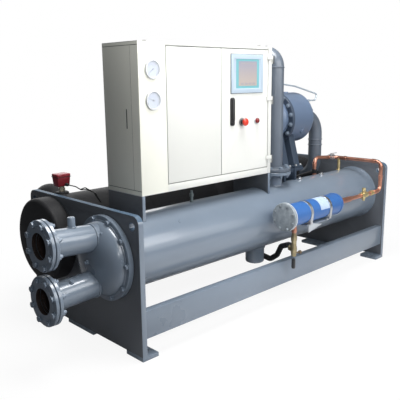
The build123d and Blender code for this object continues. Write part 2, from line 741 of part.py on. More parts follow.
# Copper liquid line: along, up, back over the condenser, along it and down to the evaporator
turn_x = x_left + liquid_turn_from_left
back_y = y_front + liquid_back_from_front
drop_x = x_left + liquid_drop_from_left
arch_height = liquid_crossing_height + liquid_arch_rise
drop_height = liquid_crossing_height - liquid_drop_below_crossing
entry_y = evaporator_axis.Y - liquid_entry_reach
entry_height = drop_height - liquid_entry_slope
copper = pipe_run([(drier_x1, drier_y, drier_height), (turn_x, drier_y, drier_height),
                   (turn_x, drier_y, liquid_crossing_height), (turn_x, back_y, liquid_crossing_height),
                   (drop_x, back_y, arch_height), (drop_x, back_y, drop_height),
                   (drop_x, entry_y, entry_height)],
                  [liquid_bend, liquid_bend, liquid_bend, liquid_bend, liquid_entry_bend], liquid_od)
copper = copper - evaporator_body()
stop_x = x_left + stop_valve_from_left
stop_size = 2 * stop_valve_half
stop_valve = Pos(stop_x, drier_y, drier_height) * Box(stop_size, stop_size, stop_size)
stop_valve += rod((stop_x, drier_y, drier_height - stop_stem_below), (0, 0, 1), stop_valve_height,
                  stop_stem_radius)
riser_top = Vector(turn_x, back_y - liquid_bend, liquid_crossing_height)
riser = rod(riser_top - (0, 0, riser_length), (0, 0, 1), riser_length, riser_od / 2) - condenser_body()
riser = riser - rod(riser_top - (0, riser_length, 0), (0, 1, 0), 2 * riser_length, liquid_od / 2)
line_valve_x = x_left + line_valve_from_left
line_valve_z = liquid_crossing_height + liquid_arch_rise * (turn_x - line_valve_x) / (turn_x - drop_x)
line_valve = block(line_valve_x - line_valve_half, line_valve_x + line_valve_half, back_y - line_valve_half,
                   back_y + line_valve_half, line_valve_z - line_valve_half, line_valve_z + line_valve_rise)
save("line_valve", line_valve)
save("liquid_line", inlet, *(copper - stop_valve - line_valve).solids())

# Relief valve on the condenser and the equalizing tube over the compressor
relief_base = at(relief_from_left, condenser_from_front, condenser_height)
relief = rod(relief_base, (0, 0, 1), condenser_radius + relief_height, relief_radius) - condenser_body()
save("brass_valves", valve + stem, stop_valve, riser, relief)
cover_x = motor_x1 + motor_cover_thick
tube_x = port_base.X + equalizing_start
tube_y = compressor_y - equalizing_from_axis
end_y = compressor_y - equalizing_end_from_axis
thin_tube = pipe_run([(tube_x, tube_y, compressor_height + equalizing_foot),
                      (tube_x, tube_y, compressor_height + equalizing_rise),
                      (motor_x1 - equalizing_mid_before_end, tube_y, compressor_height + equalizing_mid),
                      (cover_x + equalizing_reach, end_y, compressor_height + equalizing_low),
                      (cover_x + equalizing_reach - equalizing_return, end_y,
                       compressor_height + equalizing_port),
                      (cover_x - motor_cover_thick, end_y, compressor_height + equalizing_port)],
                     equalizing_bend, equalizing_od)
save("equalizing_tube", thin_tube - motor - rotor)
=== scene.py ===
import math

import bmesh
import bpy
from bpy.props import FloatProperty, FloatVectorProperty, IntProperty, PointerProperty
from mathutils import Matrix, Vector


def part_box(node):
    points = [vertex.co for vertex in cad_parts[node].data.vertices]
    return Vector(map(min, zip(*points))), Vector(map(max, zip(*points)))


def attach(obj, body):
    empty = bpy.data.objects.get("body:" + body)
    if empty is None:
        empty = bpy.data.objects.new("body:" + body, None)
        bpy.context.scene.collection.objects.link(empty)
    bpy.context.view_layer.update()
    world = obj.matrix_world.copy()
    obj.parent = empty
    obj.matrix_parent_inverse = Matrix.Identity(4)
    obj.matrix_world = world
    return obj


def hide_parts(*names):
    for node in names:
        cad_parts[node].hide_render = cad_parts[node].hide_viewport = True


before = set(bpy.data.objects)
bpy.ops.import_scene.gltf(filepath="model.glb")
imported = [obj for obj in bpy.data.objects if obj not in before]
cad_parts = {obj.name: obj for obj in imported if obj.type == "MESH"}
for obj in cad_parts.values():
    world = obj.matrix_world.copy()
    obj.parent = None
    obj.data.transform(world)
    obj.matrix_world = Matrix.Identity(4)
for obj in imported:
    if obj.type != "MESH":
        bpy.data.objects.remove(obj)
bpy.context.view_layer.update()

bl_info = {
    "name": "Screw chiller",
    "version": (1, 0, 0),
    "blender": (4, 5, 0),
    "location": "View3D > Sidebar > Chiller",
    "description": "Dresses the packed screw chiller with detailed pieces, finishes and a studio",
    "category": "Object",
}

# Lengths in this file are millimetres unless a line says metres.
MM = 0.001
LENGTH = 2400.0
HALF_WIDTH = 530.0
PLATE = 30.0
INSIDE = LENGTH - 2 * PLATE
# Width over flats to corner radius, and the seam gap in metres that is closed.
FLATS_TO_CORNER = 1.732
SEAM_GAP = 0.00002
# Degrees: edges sharper than SHARP are rounded and shaded hard, faces within FLAT are one, and arcs of a pipe
# have steps of about ARC_STEP.
SHARP = 32.0
FLAT = 0.6
ARC_STEP = 7
# The ripple along a weld bead: its pace and its height over the bead's thickness.
RIPPLE_PACE = 2.1
RIPPLE_HEIGHT = 0.09
# A bolt's turn over its angle on the circle, so that no two stand alike.
BOLT_TURN = 3.7
X = Vector((1, 0, 0))
Y = Vector((0, 1, 0))
Z = Vector((0, 0, 1))
# Axes of the long round pieces: behind the plates' front edge, and above the floor.
CONDENSER = (271.0, 495.0)
EVAPORATOR = (810.0, 497.0)
COMPRESSOR = (500.0, 1106.0)
DRIER = (-40.0, 565.0)
RISER = 1362.0
SUMP = 1171.0
CABINET_FRONT = 173.0
CABINET_RIGHT = 1200.0


def spot(from_left, from_front, height):
    """A point in metres from distances to the left plate, the plates' front edge and the floor."""
    return Vector((from_left - LENGTH / 2, from_front - HALF_WIDTH, height)) * MM


def spots(*places):
    """Several spots."""
    return [spot(*place) for place in places]


def tint(label, use, *default):
    """A colour that can be set."""
    return FloatVectorProperty(name=label, description=use, subtype="COLOR", default=default, min=0, max=1)


def turn_of_view(label, use, degrees):
    """An angle that can be set."""
    return FloatProperty(name=label, description=use, default=math.radians(degrees), subtype="ANGLE")


def watts(label, use, default):
    """A lamp's power that can be set."""
    return FloatProperty(name=label, description=use, default=default, unit="POWER")


def number(label, use, default, least):
    """A number of sides that can be set."""
    return IntProperty(name=label, description=use, default=default, min=least)


class ChillerSizes(bpy.types.PropertyGroup):
    """Sizes of the small detail."""

    edge_round: FloatProperty(name="Edge round", description="Radius on plate and casting edges",
                              default=0.002, min=0.0, unit="LENGTH")
    shell_sides: number("Shell sides", "Flat sides round the big shells", 144, 24)
    pipe_sides: number("Pipe sides", "Flat sides round the pipes", 56, 12)


class ChillerColours(bpy.types.PropertyGroup):
    """Colours of the finishes."""

    enamel: tint("Enamel", "Blue grey machine enamel", 0.165, 0.206, 0.260)
    cabinet: tint("Cabinet", "Warm white powder coat", 0.715, 0.72, 0.685)
    foam: tint("Foam", "Black closed cell foam", 0.012, 0.012, 0.014)
    drier: tint("Drier", "Blue drier enamel", 0.030, 0.118, 0.345)
    copper: tint("Copper", "Drawn copper", 0.60, 0.285, 0.20)
    brass: tint("Brass", "Machined brass", 0.70, 0.57, 0.30)


class ChillerStage(bpy.types.PropertyGroup):
    """Camera and lights."""

    camera_place: FloatVectorProperty(name="Camera place", description="Where the camera stands",
                                      default=(-2.8009, -2.6170, 1.3893), subtype="TRANSLATION",
                                      unit="LENGTH")
    yaw: turn_of_view("Yaw", "View direction, from +X towards +Y", 46.08)
    pitch: turn_of_view("Pitch", "View direction below the horizon", 12.04)
    roll: turn_of_view("Roll", "Turn of the camera about its view", 0.67)
    lens: FloatProperty(name="Lens", description="Focal length in mm on a 36 mm sensor", default=51.01)
    key: watts("Key light", "Power of the high front light", 83.0)
    side: watts("Side light", "Power of the front right light", 14.0)
    top: watts("Top light", "Power of the light over the water pipes", 105.0)
    glint: watts("Glint light", "Power of the small light beside the camera", 7.0)
    rear: watts("Rear light", "Power of the light behind", 80.0)
    surround: FloatProperty(name="Surround", description="Brightness of the room", default=0.175)


# Small tools for modelling


def only(thing):
    """Make one object the selected and active one."""
    bpy.ops.object.select_all(action="DESELECT")
    thing.select_set(True)
    bpy.context.view_layer.objects.active = thing


def fixed(thing):
    """Move an object's place, turn and scale into its mesh."""
    only(thing)
    bpy.ops.object.transform_apply(location=True, rotation=True, scale=True)
    return thing


def facing(direction):
    """The turn that takes +Z to a direction."""
    return Vector(direction).to_track_quat("Z", "Y").to_euler()


def around(degrees, start=Y):
    """A direction across the length, turned up from the rear or from another horizontal start."""
    return start * math.cos(math.radians(degrees)) + Z * math.sin(math.radians(degrees))


def slab(low, high):
    """A box between two corners in metres."""
    low = Vector(low)
    high = Vector(high)
    bpy.ops.object.select_all(action="DESELECT")
    bpy.ops.mesh.primitive_cube_add(size=1, location=(low + high) / 2, scale=high - low)
    return fixed(bpy.context.object)


def block(x0, y0, z0, x1, y1, z1):
    """A box between two spots."""
    return slab(spot(x0, y0, z0), spot(x1, y1, z1))


def bar(start, direction, length, radius, sides=32, end_radius=None):
    """A round bar, or a cone where an end radius is given; lengths in millimetres from a point in metres."""
    bpy.ops.object.select_all(action="DESELECT")
    direction = Vector(direction).normalized()
    middle = Vector(start) + direction * length * MM / 2
    far = radius if end_radius is None else end_radius
    bpy.ops.mesh.primitive_cone_add(vertices=sides, radius1=radius * MM, radius2=far * MM, depth=length * MM,
                                    location=middle, rotation=facing(direction))
    return fixed(bpy.context.object)


def whole(thing):
    """Enter edit mode on an object with everything selected."""
    only(thing)
    bpy.ops.object.mode_set(mode="EDIT")
    bpy.ops.mesh.select_mode(type="VERT")
    bpy.ops.mesh.select_all(action="SELECT")


def leave():
    """Return to object mode."""
    bpy.ops.object.mode_set(mode="OBJECT")


def shaped(thing, accepts, change, kind="FACE"):
    """Change the faces, edges or corners that a test accepts, in edit mode."""
    whole(thing)
    bpy.ops.mesh.select_mode(type=kind)
    bpy.ops.mesh.select_all(action="DESELECT")
    shape = bmesh.from_edit_mesh(thing.data)
    for item in {"FACE": shape.faces, "EDGE": shape.edges, "VERT": shape.verts}[kind]:
        if accepts(item):
            item.select_set(True)
    bmesh.update_edit_mesh(thing.data)
    change()
    leave()
    return thing


def inset(*steps):
    """Inset the selected faces by borders and depths in metres."""
    for border, depth in steps:
        bpy.ops.mesh.inset(thickness=border, depth=depth)


def front_face(face):
    """Whether a face looks to the front."""
    return face.normal.y < -0.9


def corner_edge(edge):
    """Whether an edge runs from front to rear."""
    return abs((edge.verts[0].co - edge.verts[1].co).y) > 0.005


def closed(thing):
    """Close seams and poles and point every face outwards."""
    whole(thing)
    bpy.ops.mesh.remove_doubles(threshold=SEAM_GAP)
    bpy.ops.mesh.normals_make_consistent(inside=False)
    leave()
    return thing


def soften(thing, width=None, segments=2, angle=SHARP):
    """Round the sharp edges."""
    edge = thing.modifiers.new("edge round", "BEVEL")
    edge.width = bpy.context.scene.chiller_sizes.edge_round if width is None else width * MM
    edge.segments = segments
    edge.limit_method = "ANGLE"
    edge.angle_limit = math.radians(angle)
    edge.use_clamp_overlap = True
    only(thing)
    bpy.ops.object.modifier_apply(modifier=edge.name)
    return thing


def turned(profile, start, direction, sides=64):
    """A turned piece: (distance along, radius) pairs in millimetres, spun about a direction from a point."""
    mesh = bpy.data.meshes.new("turned")
    points = [(along * MM, radius * MM, 0) for along, radius in profile]
    mesh.from_pydata(points, [(i, i + 1) for i in range(len(points) - 1)], [])
    thing = bpy.data.objects.new("turned", mesh)
    bpy.context.collection.objects.link(thing)
    whole(thing)
    bpy.ops.mesh.spin(steps=sides, angle=2 * math.pi, center=(0, 0, 0), axis=(1, 0, 0))
    leave()
    across = Vector(direction).normalized().to_track_quat("X", "Z").to_matrix().to_4x4()
    closed(thing).matrix_world = Matrix.Translation(start) @ across
    return fixed(thing)


def rod(radius, length, start, direction, sides):
    """A plain turned rod."""
    return turned([(0, 0), (0, radius), (length, radius), (length, 0)], start, direction, sides)


def disc(radius, length, start, direction, sides=64, edge=1.5, bore=0.0):
    """A turned disc or ring with chamfered edges."""
    profile = [(0, radius - edge), (edge, radius), (length - edge, radius), (length, radius - edge)]
    profile = [(0, bore)] + profile + [(length, bore)]
    return turned(profile + [(0, bore)] if bore else profile, start, direction, sides)


def rounded_path(points, bends):
    """Points along straight runs joined by arcs; bends in millimetres, one for each corner."""
    path = [points[0]]
    for before, here, after, bend in zip(points, points[1:], points[2:], bends):
        back = (before - here).normalized()
        ahead = (after - here).normalized()
        opening = back.angle(ahead)
        radius = bend * MM
        reach = radius / math.tan(opening / 2)
        centre = here + (back + ahead).normalized() * radius / math.sin(opening / 2)
        first = here + back * reach - centre
        last = here + ahead * reach - centre
        steps = max(4, int(math.degrees(math.pi - opening) / ARC_STEP))
        path += [centre + first.slerp(last, k / steps).normalized() * radius for k in range(steps + 1)]
    return path + [points[-1]]


def piped(points, radius, bends, sides=None):
    """A round pipe along straight runs joined by arcs."""
    sides = sides or bpy.context.scene.chiller_sizes.pipe_sides
    curve = bpy.data.curves.new("pipe", "CURVE")
    curve.dimensions = "3D"
    curve.bevel_depth = radius * MM
    curve.bevel_resolution = max(2, sides // 2 - 2)
    curve.use_fill_caps = True
    path = rounded_path(points, bends)
    line = curve.splines.new("POLY")
    line.points.add(len(path) - 1)
    for point, place in zip(line.points, path):
        point.co = (*place, 1)
    thing = bpy.data.objects.new("pipe", curve)
    bpy.context.collection.objects.link(thing)
    only(thing)
    bpy.ops.object.convert(target="MESH")
    return closed(bpy.context.object)


def bead(centre, direction, radius, thick):
    """A weld bead: a ring with the ripple of its passes."""
    sides = 8
    bpy.ops.object.select_all(action="DESELECT")
    bpy.ops.mesh.primitive_torus_add(location=centre, rotation=facing(direction), major_radius=radius * MM,
                                     minor_radius=thick * MM, major_segments=120, minor_segments=sides)
    thing = fixed(bpy.context.object)
    for i, vert in enumerate(thing.data.vertices):
        lap = math.sin(i // sides * RIPPLE_PACE) * RIPPLE_HEIGHT * thick * MM
        vert.co += vert.normal * lap
    return thing


def copied(thing, places):
    """Copies of an object, each with its own mesh, at 4x4 places; the first goes."""
    copies = []
    for place in places:
        twin = thing.copy()
        twin.data = thing.data.copy()
        bpy.context.collection.objects.link(twin)
        twin.matrix_world = place
        copies.append(fixed(twin))
    bpy.data.objects.remove(thing)
    return copies


def joined(things):
    """One object from several."""
    only(things[0])
    for thing in things[1:]:
        thing.select_set(True)
    bpy.ops.object.join()
    return bpy.context.object


def hexagon(place, direction, across, length, edge=1.6):
    """A chamfered hexagon along a direction."""
    return soften(bar(place, direction, length, across / FLATS_TO_CORNER, 6), edge, 2, 20)


def hex_bolt(across=24.0, head=10.0, grip=0.0, washer=2.5):
    """A hexagon head on a washer along +Z from its seat; with a grip it has a nut and thread end behind."""
    edge = 1.2
    ring = across * 0.72
    thread = across * 0.31
    parts = [hexagon(Z * washer * MM, Z, across, head, edge), bar((0, 0, 0), Z, washer, ring, 24)]
    if grip:
        nut = -Z * (grip + washer) * MM
        parts += [bar(-Z * grip * MM, -Z, washer, ring, 24), hexagon(nut, -Z, across, head, edge),
                  bar(nut, -Z, head * 1.9, thread, 16)]
    return joined(parts)


def bolt_circle(centre, direction, pitch_radius, count, start=0.0, **bolt):
    """Bolts on a circle, each turned its own way about its axis."""
    turn = Vector(direction).to_track_quat("Z", "Y").to_matrix().to_4x4()
    places = []
    for i in range(count):
        angle = math.radians(start) + 2 * math.pi * i / count
        offset = Vector((math.cos(angle), math.sin(angle), 0)) * pitch_radius * MM
        spin = Matrix.Rotation(angle * BOLT_TURN, 4, "Z")
        places.append(Matrix.Translation(centre) @ turn @ Matrix.Translation(offset) @ spin)
    return copied(hex_bolt(**bolt), places)


def painted(thing, name):
    """Give an unfinished part its own finish before joining."""
    thing.data.materials.clear()
    thing.data.materials.append(finish(name))
    return thing


def repainted(thing, name, accepts):
    """Give the faces that pass a test another finish."""
    thing.data.materials.append(finish(name))
    last = len(thing.data.materials) - 1
    for face in thing.data.polygons:
        if accepts(face):
            face.material_index = last
    return thing


def lined(thing, start, direction):
    """Enamel a part, with stained primer on the faces that look at its axis."""
    start = Vector(start)
    direction = Vector(direction).normalized()

    def looks_in(face):
        reach = face.center - start
        out = reach - direction * reach.dot(direction)
        return out.length > 0 and face.normal.dot(out.normalized()) < -0.5

    return repainted(painted(thing, "blue_grey_enamel"), "stained_primer", looks_in)


def finish_piece(things, name, coat, body="root", node=None):
    """Join, name, finish and shade a piece, hang it on its body, and put it in place of a node."""
    thing = joined(things if isinstance(things, list) else [things])
    thing.name = name
    thing.data.name = name
    if not thing.data.materials:
        thing.data.materials.append(finish(coat))
    only(thing)
    bpy.ops.object.shade_smooth_by_angle(angle=math.radians(SHARP))
    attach(thing, body)
    if node:
        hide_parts(node)
    return thing


def refined(node, coat, name, width=None, body="root", segments=2):
    """A CAD node's own shape with merged faces and rounded edges, in place of the node."""
    twin = bpy.data.objects.new(name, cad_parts[node].data.copy())
    bpy.context.collection.objects.link(twin)
    only(twin)
    if twin.data.has_custom_normals:
        bpy.ops.mesh.customdata_custom_splitnormals_clear()
    whole(twin)
    bpy.ops.mesh.remove_doubles(threshold=SEAM_GAP)
    bpy.ops.mesh.dissolve_limited(angle_limit=math.radians(FLAT))
    leave()
    twin.data.materials.clear()
    return finish_piece(soften(twin, width, segments), name, coat, body, node)


# Finishes

# Each has its record slot, its colour or the name of a colour that can be set, and its own settings.
FINISHES = {
    "blue_grey_enamel": ("frame_paint", "enamel", dict(
        roughness=0.30, coat=0.5, coat_roughness=0.09, grain=210.0, bump=0.05, tone=0.06, dust=0.06,
        specular=0.65, rough_change=0.03)),
    # A darker copy of the enamel: painted shade on faces that look along the chiller.
    "dull_blue_grey_enamel": ("frame_paint", (0.098, 0.108, 0.124), dict(
        roughness=0.42, coat=0.2, coat_roughness=0.2, grain=210.0, bump=0.07, tone=0.10, dust=0.04)),
    # A darker, bluer, duller copy of the enamel: painted shade on the plates' rims, damping their highlight.
    "blue_plate_rim": ("frame_paint", (0.070, 0.115, 0.170), dict(
        roughness=0.55, grain=210.0, bump=0.07, specular=0.3)),
    # A darker copy of the enamel: painted shade on the discharge and suction pipes.
    "dark_pipe_enamel": ("frame_paint", (0.108, 0.130, 0.162), dict(
        roughness=0.34, coat=0.3, coat_roughness=0.16, grain=210.0, bump=0.06, tone=0.10, dust=0.05)),
    "enamel_on_casting": ("frame_paint", (0.115, 0.162, 0.248), dict(
        roughness=0.42, coat=0.2, coat_roughness=0.2, grain=95.0, bump=0.35, tone=0.14, wear=0.3,
        wear_colour=(0.30, 0.34, 0.38), dust=0.15, bump_distance=0.0012)),
    # A darker copy of the casting enamel: painted shade on the motor's flange ring.
    "dark_flange_enamel": ("frame_paint", (0.040, 0.058, 0.090), dict(roughness=0.5, grain=120.0, bump=0.2)),
    # A darker copy of the enamel: painted shade on the compressor feet and beams.
    "dark_leg_enamel": ("frame_paint", (0.036, 0.052, 0.078), dict(
        roughness=0.6, grain=120.0, bump=0.2, specular=0.25)),
    "painted_bolt": ("frame_paint", (0.1815, 0.2266, 0.286), dict(
        roughness=0.36, coat=0.3, grain=300.0, bump=0.12, wear=0.9, wear_colour=(0.42, 0.44, 0.46))),
    # A light grey: painted light on the drier bracket's front tab.
    "bracket_grey": ("frame_paint", (0.44, 0.47, 0.50), dict(roughness=0.5)),
    "white_powder_coat": ("cabinet_white", "cabinet", dict(
        roughness=0.42, grain=620.0, bump=0.16, tone=0.015, bump_distance=0.0003, dust=0.03, specular=0.45,
        rough_change=0.04)),
    # A brighter, warmer copy of the powder coat: painted light on the cabinet's left side.
    "side_powder_coat": ("cabinet_white", (0.84, 0.84, 0.755), dict(
        roughness=0.5, grain=620.0, bump=0.16, tone=0.015)),
    # A dark grey on the hinge faces that stand out past the cabinet's right side.
    "hinge_zinc": ("cabinet_white", (0.10, 0.11, 0.12), dict(
        roughness=0.6, grain=300.0, bump=0.05, specular=0.25)),
    # A mid grey: painted shadow in the gaps round the door.
    "rebate_grey": ("cabinet_white", (0.22, 0.23, 0.215), dict(roughness=0.6)),
    "seam_shadow": ("cabinet_white", (0.05, 0.05, 0.045), dict(roughness=0.8)),
    "duct_grey": ("cabinet_white", (0.36, 0.37, 0.38), dict(roughness=0.5)),
    "foam_skin": ("insulation", "foam", dict(
        roughness=0.62, grain=120.0, bump=0.55, tone=0.28, bump_distance=0.0012, dust=0.03, sheen=0.05,
        specular=0.3, tone_scale=9.0)),
    # Black rubber for the gaskets, also used for the painted shadow round the display.
    "sheet_gasket": ("gasket_black", (0.022, 0.022, 0.024), dict(
        roughness=0.6, grain=400.0, bump=0.3, tone=0.2)),
    "stained_primer": ("frame_paint", (0.030, 0.018, 0.014), dict(
        roughness=0.7, grain=60.0, bump=0.5, tone=0.45, tone_scale=12.0, bump_distance=0.001)),
    "zinc_plate": ("galvanised", (0.62, 0.63, 0.64), dict(
        roughness=0.33, metallic=1.0, grain=90.0, bump=0.12, tone_scale=26.0, scratch=0.4)),
    "drawn_copper": ("copper", "copper", dict(
        roughness=0.38, metallic=0.9, grain=150.0, bump=0.04, tone=0.2, tone_scale=10.0, rough_change=0.05)),
    "machined_brass": ("brass", "brass", dict(
        roughness=0.34, metallic=0.85, grain=240.0, bump=0.05, tone=0.14, tone_scale=20.0)),
    # A darker copy of the brass, for the angle valve under the drier.
    "dulled_brass": ("brass", (0.36, 0.30, 0.18), dict(
        roughness=0.36, metallic=0.85, grain=240.0, bump=0.05, tone=0.25, tone_scale=20.0)),
    "fitting_grey": ("brass", (0.13, 0.16, 0.17), dict(roughness=0.4, metallic=0.5)),
    "switch_neck": ("brass", (0.55, 0.50, 0.40), dict(roughness=0.35, metallic=0.6)),
    "knob_brown": ("brass", (0.13, 0.09, 0.05), dict(roughness=0.5)),
    "tube_steel": ("steel_tube", (0.42, 0.48, 0.54), dict(roughness=0.4, metallic=0.4)),
    "moulded_black": ("black_plastic", (0.018, 0.018, 0.019), dict(
        roughness=0.38, grain=700.0, bump=0.2, tone=0.1)),
    "switch_cap_red": ("switch_red", (0.26, 0.017, 0.028), dict(
        roughness=0.42, coat=0.3, grain=600.0, tone=0.08)),
    "stop_red": ("red_button", (0.68, 0.045, 0.022), dict(roughness=0.28, coat=0.3, grain=600.0, tone=0.08)),
    "lamp_lens": ("lamp_red", (0.20, 0.012, 0.012), dict(roughness=0.14, coat=0.3, grain=600.0, tone=0.08)),
    "collar_grey": ("red_button", (0.25, 0.26, 0.26), dict(roughness=0.4)),
    "plated_rim": ("gauge_face", (0.70, 0.71, 0.73), dict(
        roughness=0.42, metallic=0.7, grain=300.0, bump=0.02, tone=0.04)),
    "dial_white": ("gauge_face", (0.56, 0.62, 0.74), dict(roughness=0.5, tone=0.02)),
    "dial_black": ("gauge_face", (0.16, 0.17, 0.20), dict(roughness=0.5)),
    "gauge_glass": ("gauge_face", None, None),
    "display_frame": ("display_frame", (0.44, 0.53, 0.62), dict(
        roughness=0.5, specular=0.3, grain=800.0, bump=0.12, tone=0.04)),
    "screen_edge": ("display_frame", (0.17, 0.43, 0.47), dict(
        roughness=0.4, specular=0.3, grain=500.0, bump=0.02, tone=0.06)),
    "screen_picture": ("display_frame", None, None),
    "screen_keys": ("display_frame", (0.34, 0.32, 0.34), dict(roughness=0.4)),
    "blue_enamel": ("drier_blue", "drier", dict(
        roughness=0.4, coat=0.2, coat_roughness=0.2, grain=240.0, bump=0.10, tone=0.10, wear=0.4,
        wear_colour=(0.2, 0.3, 0.5))),
    "label_pale": ("drier_blue", (0.42, 0.52, 0.67), dict(roughness=0.4, tone_scale=40.0)),
    "olive_grey_enamel": ("drier_cap_paint", (0.275, 0.31, 0.34), dict(
        roughness=0.4, coat=0.2, grain=150.0, bump=0.25, tone=0.2, tone_scale=40.0, wear=0.2,
        wear_colour=(0.62, 0.63, 0.62))),
    "bright_rim": ("drier_cap_paint", (0.72, 0.73, 0.74), dict(roughness=0.35, metallic=0.6)),
}
# The part of the slow noise that the tones spread over, and the colour of dust.
TONE_SPAN = (0.3, 0.7)
DUST_GREY = (0.42, 0.42, 0.41, 1)
ENAMEL = "blue_grey_enamel"
POWDER_COAT = "white_powder_coat"
MATERIALS = {}
GROUPS = {}


def add(tree, kind, inputs=None, **settings):
    """Add a shader node, set its properties, and set or link its inputs."""
    made = tree.nodes.new(kind)
    for key, value in settings.items():
        setattr(made, key, value)
    for key, value in (inputs or {}).items():
        if isinstance(value, bpy.types.NodeSocket):
            tree.links.new(value, made.inputs[key])
        else:
            made.inputs[key].default_value = value
    return made


def noise(tree, place, scale, detail, roughness=0.5):
    """Noise at a place."""
    return add(tree, "ShaderNodeTexNoise", {"Vector": place, "Scale": scale, "Detail": detail,
                                            "Roughness": roughness}).outputs[0]


def ranged(tree, value, low, high, to_low=0.0, to_high=1.0, **settings):
    """A value moved from one range to another."""
    ends = {0: value, 1: low, 2: high, 3: to_low, 4: to_high}
    return add(tree, "ShaderNodeMapRange", ends, **settings).outputs[0]


def product(tree, first, second, clamped=False):
    """Two values multiplied."""
    node = add(tree, "ShaderNodeMath", {0: first, 1: second}, operation="MULTIPLY", use_clamp=clamped)
    return node.outputs[0]


def blended(tree, share, first, second):
    """Two colours blended."""
    return add(tree, "ShaderNodeMix", {0: share, 6: first, 7: second}, data_type="RGBA").outputs[2]


def new_group(name, amounts, outputs):
    """A shader node group with a Vector and named amounts: its tree, its inputs and its output node."""
    tree = bpy.data.node_groups.new(name, "ShaderNodeTree")
    tree.interface.new_socket(name="Vector", in_out="INPUT", socket_type="NodeSocketVector")
    for label, default in amounts.items():
        socket = tree.interface.new_socket(name=label, in_out="INPUT", socket_type="NodeSocketFloat")
        socket.default_value = default
    for label in outputs:
        tree.interface.new_socket(name=label, in_out="OUTPUT", socket_type="NodeSocketFloat")
    return tree, tree.nodes.new("NodeGroupInput").outputs, tree.nodes.new("NodeGroupOutput")


def grain_group():
    """Orange peel of sprayed paint and a slow change of tone."""
    tree, given, out = new_group("Spray grain", {"Grain Scale": 260.0, "Tone Scale": 3.0}, ("Height", "Tone"))
    tree.links.new(noise(tree, given["Vector"], given["Grain Scale"], 2.0, 0.45), out.inputs["Height"])
    tree.links.new(noise(tree, given["Vector"], given["Tone Scale"], 5.0, 0.55), out.inputs["Tone"])
    return tree


def wear_group():
    """A mask of rubbed edges, broken up by noise."""
    tree, given, out = new_group("Edge wear", {"Amount": 0.3, "Patch Scale": 38.0}, ("Mask", ))
    rounded = add(tree, "ShaderNodeBevel", {"Radius": 0.003}, samples=4).outputs[0]
    flat = add(tree, "ShaderNodeNewGeometry").outputs["Normal"]
    match = add(tree, "ShaderNodeVectorMath", {0: rounded, 1: flat}, operation="DOT_PRODUCT").outputs["Value"]
    edge = ranged(tree, match, 0.995, 0.86)
    broken = ranged(tree, noise(tree, given["Vector"], given["Patch Scale"], 6.0, 0.7), 0.52, 0.66)
    mask = product(tree, product(tree, edge, broken), given["Amount"], True)
    tree.links.new(mask, out.inputs["Mask"])
    return tree


def dust_group():
    """A mask of dust lying on faces that look up."""
    tree, given, out = new_group("Settled dust", {"Amount": 0.2}, ("Mask", ))
    flat = add(tree, "ShaderNodeNewGeometry").outputs["Normal"]
    upward = ranged(tree, add(tree, "ShaderNodeSeparateXYZ", {0: flat}).outputs["Z"], 0.55, 1.0)
    patch = ranged(tree, noise(tree, given["Vector"], 14.0, 7.0, 0.68), 0.35, 0.75, 0.25)
    mask = product(tree, product(tree, upward, patch), given["Amount"], True)
    tree.links.new(mask, out.inputs["Mask"])
    return tree


def effect(tree, maker, place, **amounts):
    """A shared effect's outputs; its group is built once."""
    if maker not in GROUPS:
        GROUPS[maker] = maker()
    node = add(tree, "ShaderNodeGroup", node_tree=GROUPS[maker])
    tree.links.new(place, node.inputs["Vector"])
    for key, value in amounts.items():
        node.inputs[key.replace("_", " ").title()].default_value = value
    return node.outputs


def coating(material, colour, roughness=0.35, metallic=0.0, coat=0.0, coat_roughness=0.1, grain=260.0,
            bump=0.08, tone=0.12, wear=0.0, wear_colour=None, dust=0.0, bump_distance=0.0004, sheen=0.0,
            tone_scale=3.0, specular=0.5, rough_change=0.08, scratch=0.0):
    """A coated or bare surface from the shared effects."""
    tree = material.node_tree
    surface = tree.nodes["Principled BSDF"]
    place = add(tree, "ShaderNodeTexCoord").outputs["Object"]
    spray = effect(tree, grain_group, place, grain_scale=grain, tone_scale=tone_scale)
    low = (*(c * (1 - tone) for c in colour), 1)
    high = (*(min(1, c * (1 + tone)) for c in colour), 1)
    result = blended(tree, ranged(tree, spray["Tone"], *TONE_SPAN), low, high)
    if wear:
        rubbed = effect(tree, wear_group, place, amount=wear)
        result = blended(tree, rubbed["Mask"], result, (*wear_colour, 1))
    if dust:
        settled = effect(tree, dust_group, place, amount=dust)
        result = blended(tree, settled["Mask"], result, DUST_GREY)
    smoothest = max(0.03, roughness - rough_change)
    gloss = ranged(tree, spray["Tone"], *TONE_SPAN, smoothest, roughness + rough_change)
    height = spray["Height"]
    if scratch:
        stretched = add(tree, "ShaderNodeMapping", {"Vector": place, "Scale": (6, 900, 900)}).outputs[0]
        lines = noise(tree, stretched, 1.0, 3.0)
        height = add(tree, "ShaderNodeMix", {0: scratch, 2: height, 3: lines}).outputs[0]
    relief = add(tree, "ShaderNodeBump", {"Height": height, "Strength": bump, "Distance": bump_distance})
    for key, value in {"Metallic": metallic, "Coat Weight": coat, "Coat Roughness": coat_roughness,
                       "Sheen Weight": sheen, "Specular IOR Level": specular}.items():
        surface.inputs[key].default_value = value
    tree.links.new(result, surface.inputs["Base Color"])
    tree.links.new(gloss, surface.inputs["Roughness"])
    tree.links.new(relief.outputs[0], surface.inputs["Normal"])
    material.diffuse_color = (*colour, 1)


def glaze(material):
    """Clear pane of the gauges."""
    surface = material.node_tree.nodes["Principled BSDF"]
    surface.inputs["Base Color"].default_value = (1, 1, 1, 1)
    surface.inputs["Roughness"].default_value = 0.02
    surface.inputs["Alpha"].default_value = 0.12
    material.blend_method = "BLEND"


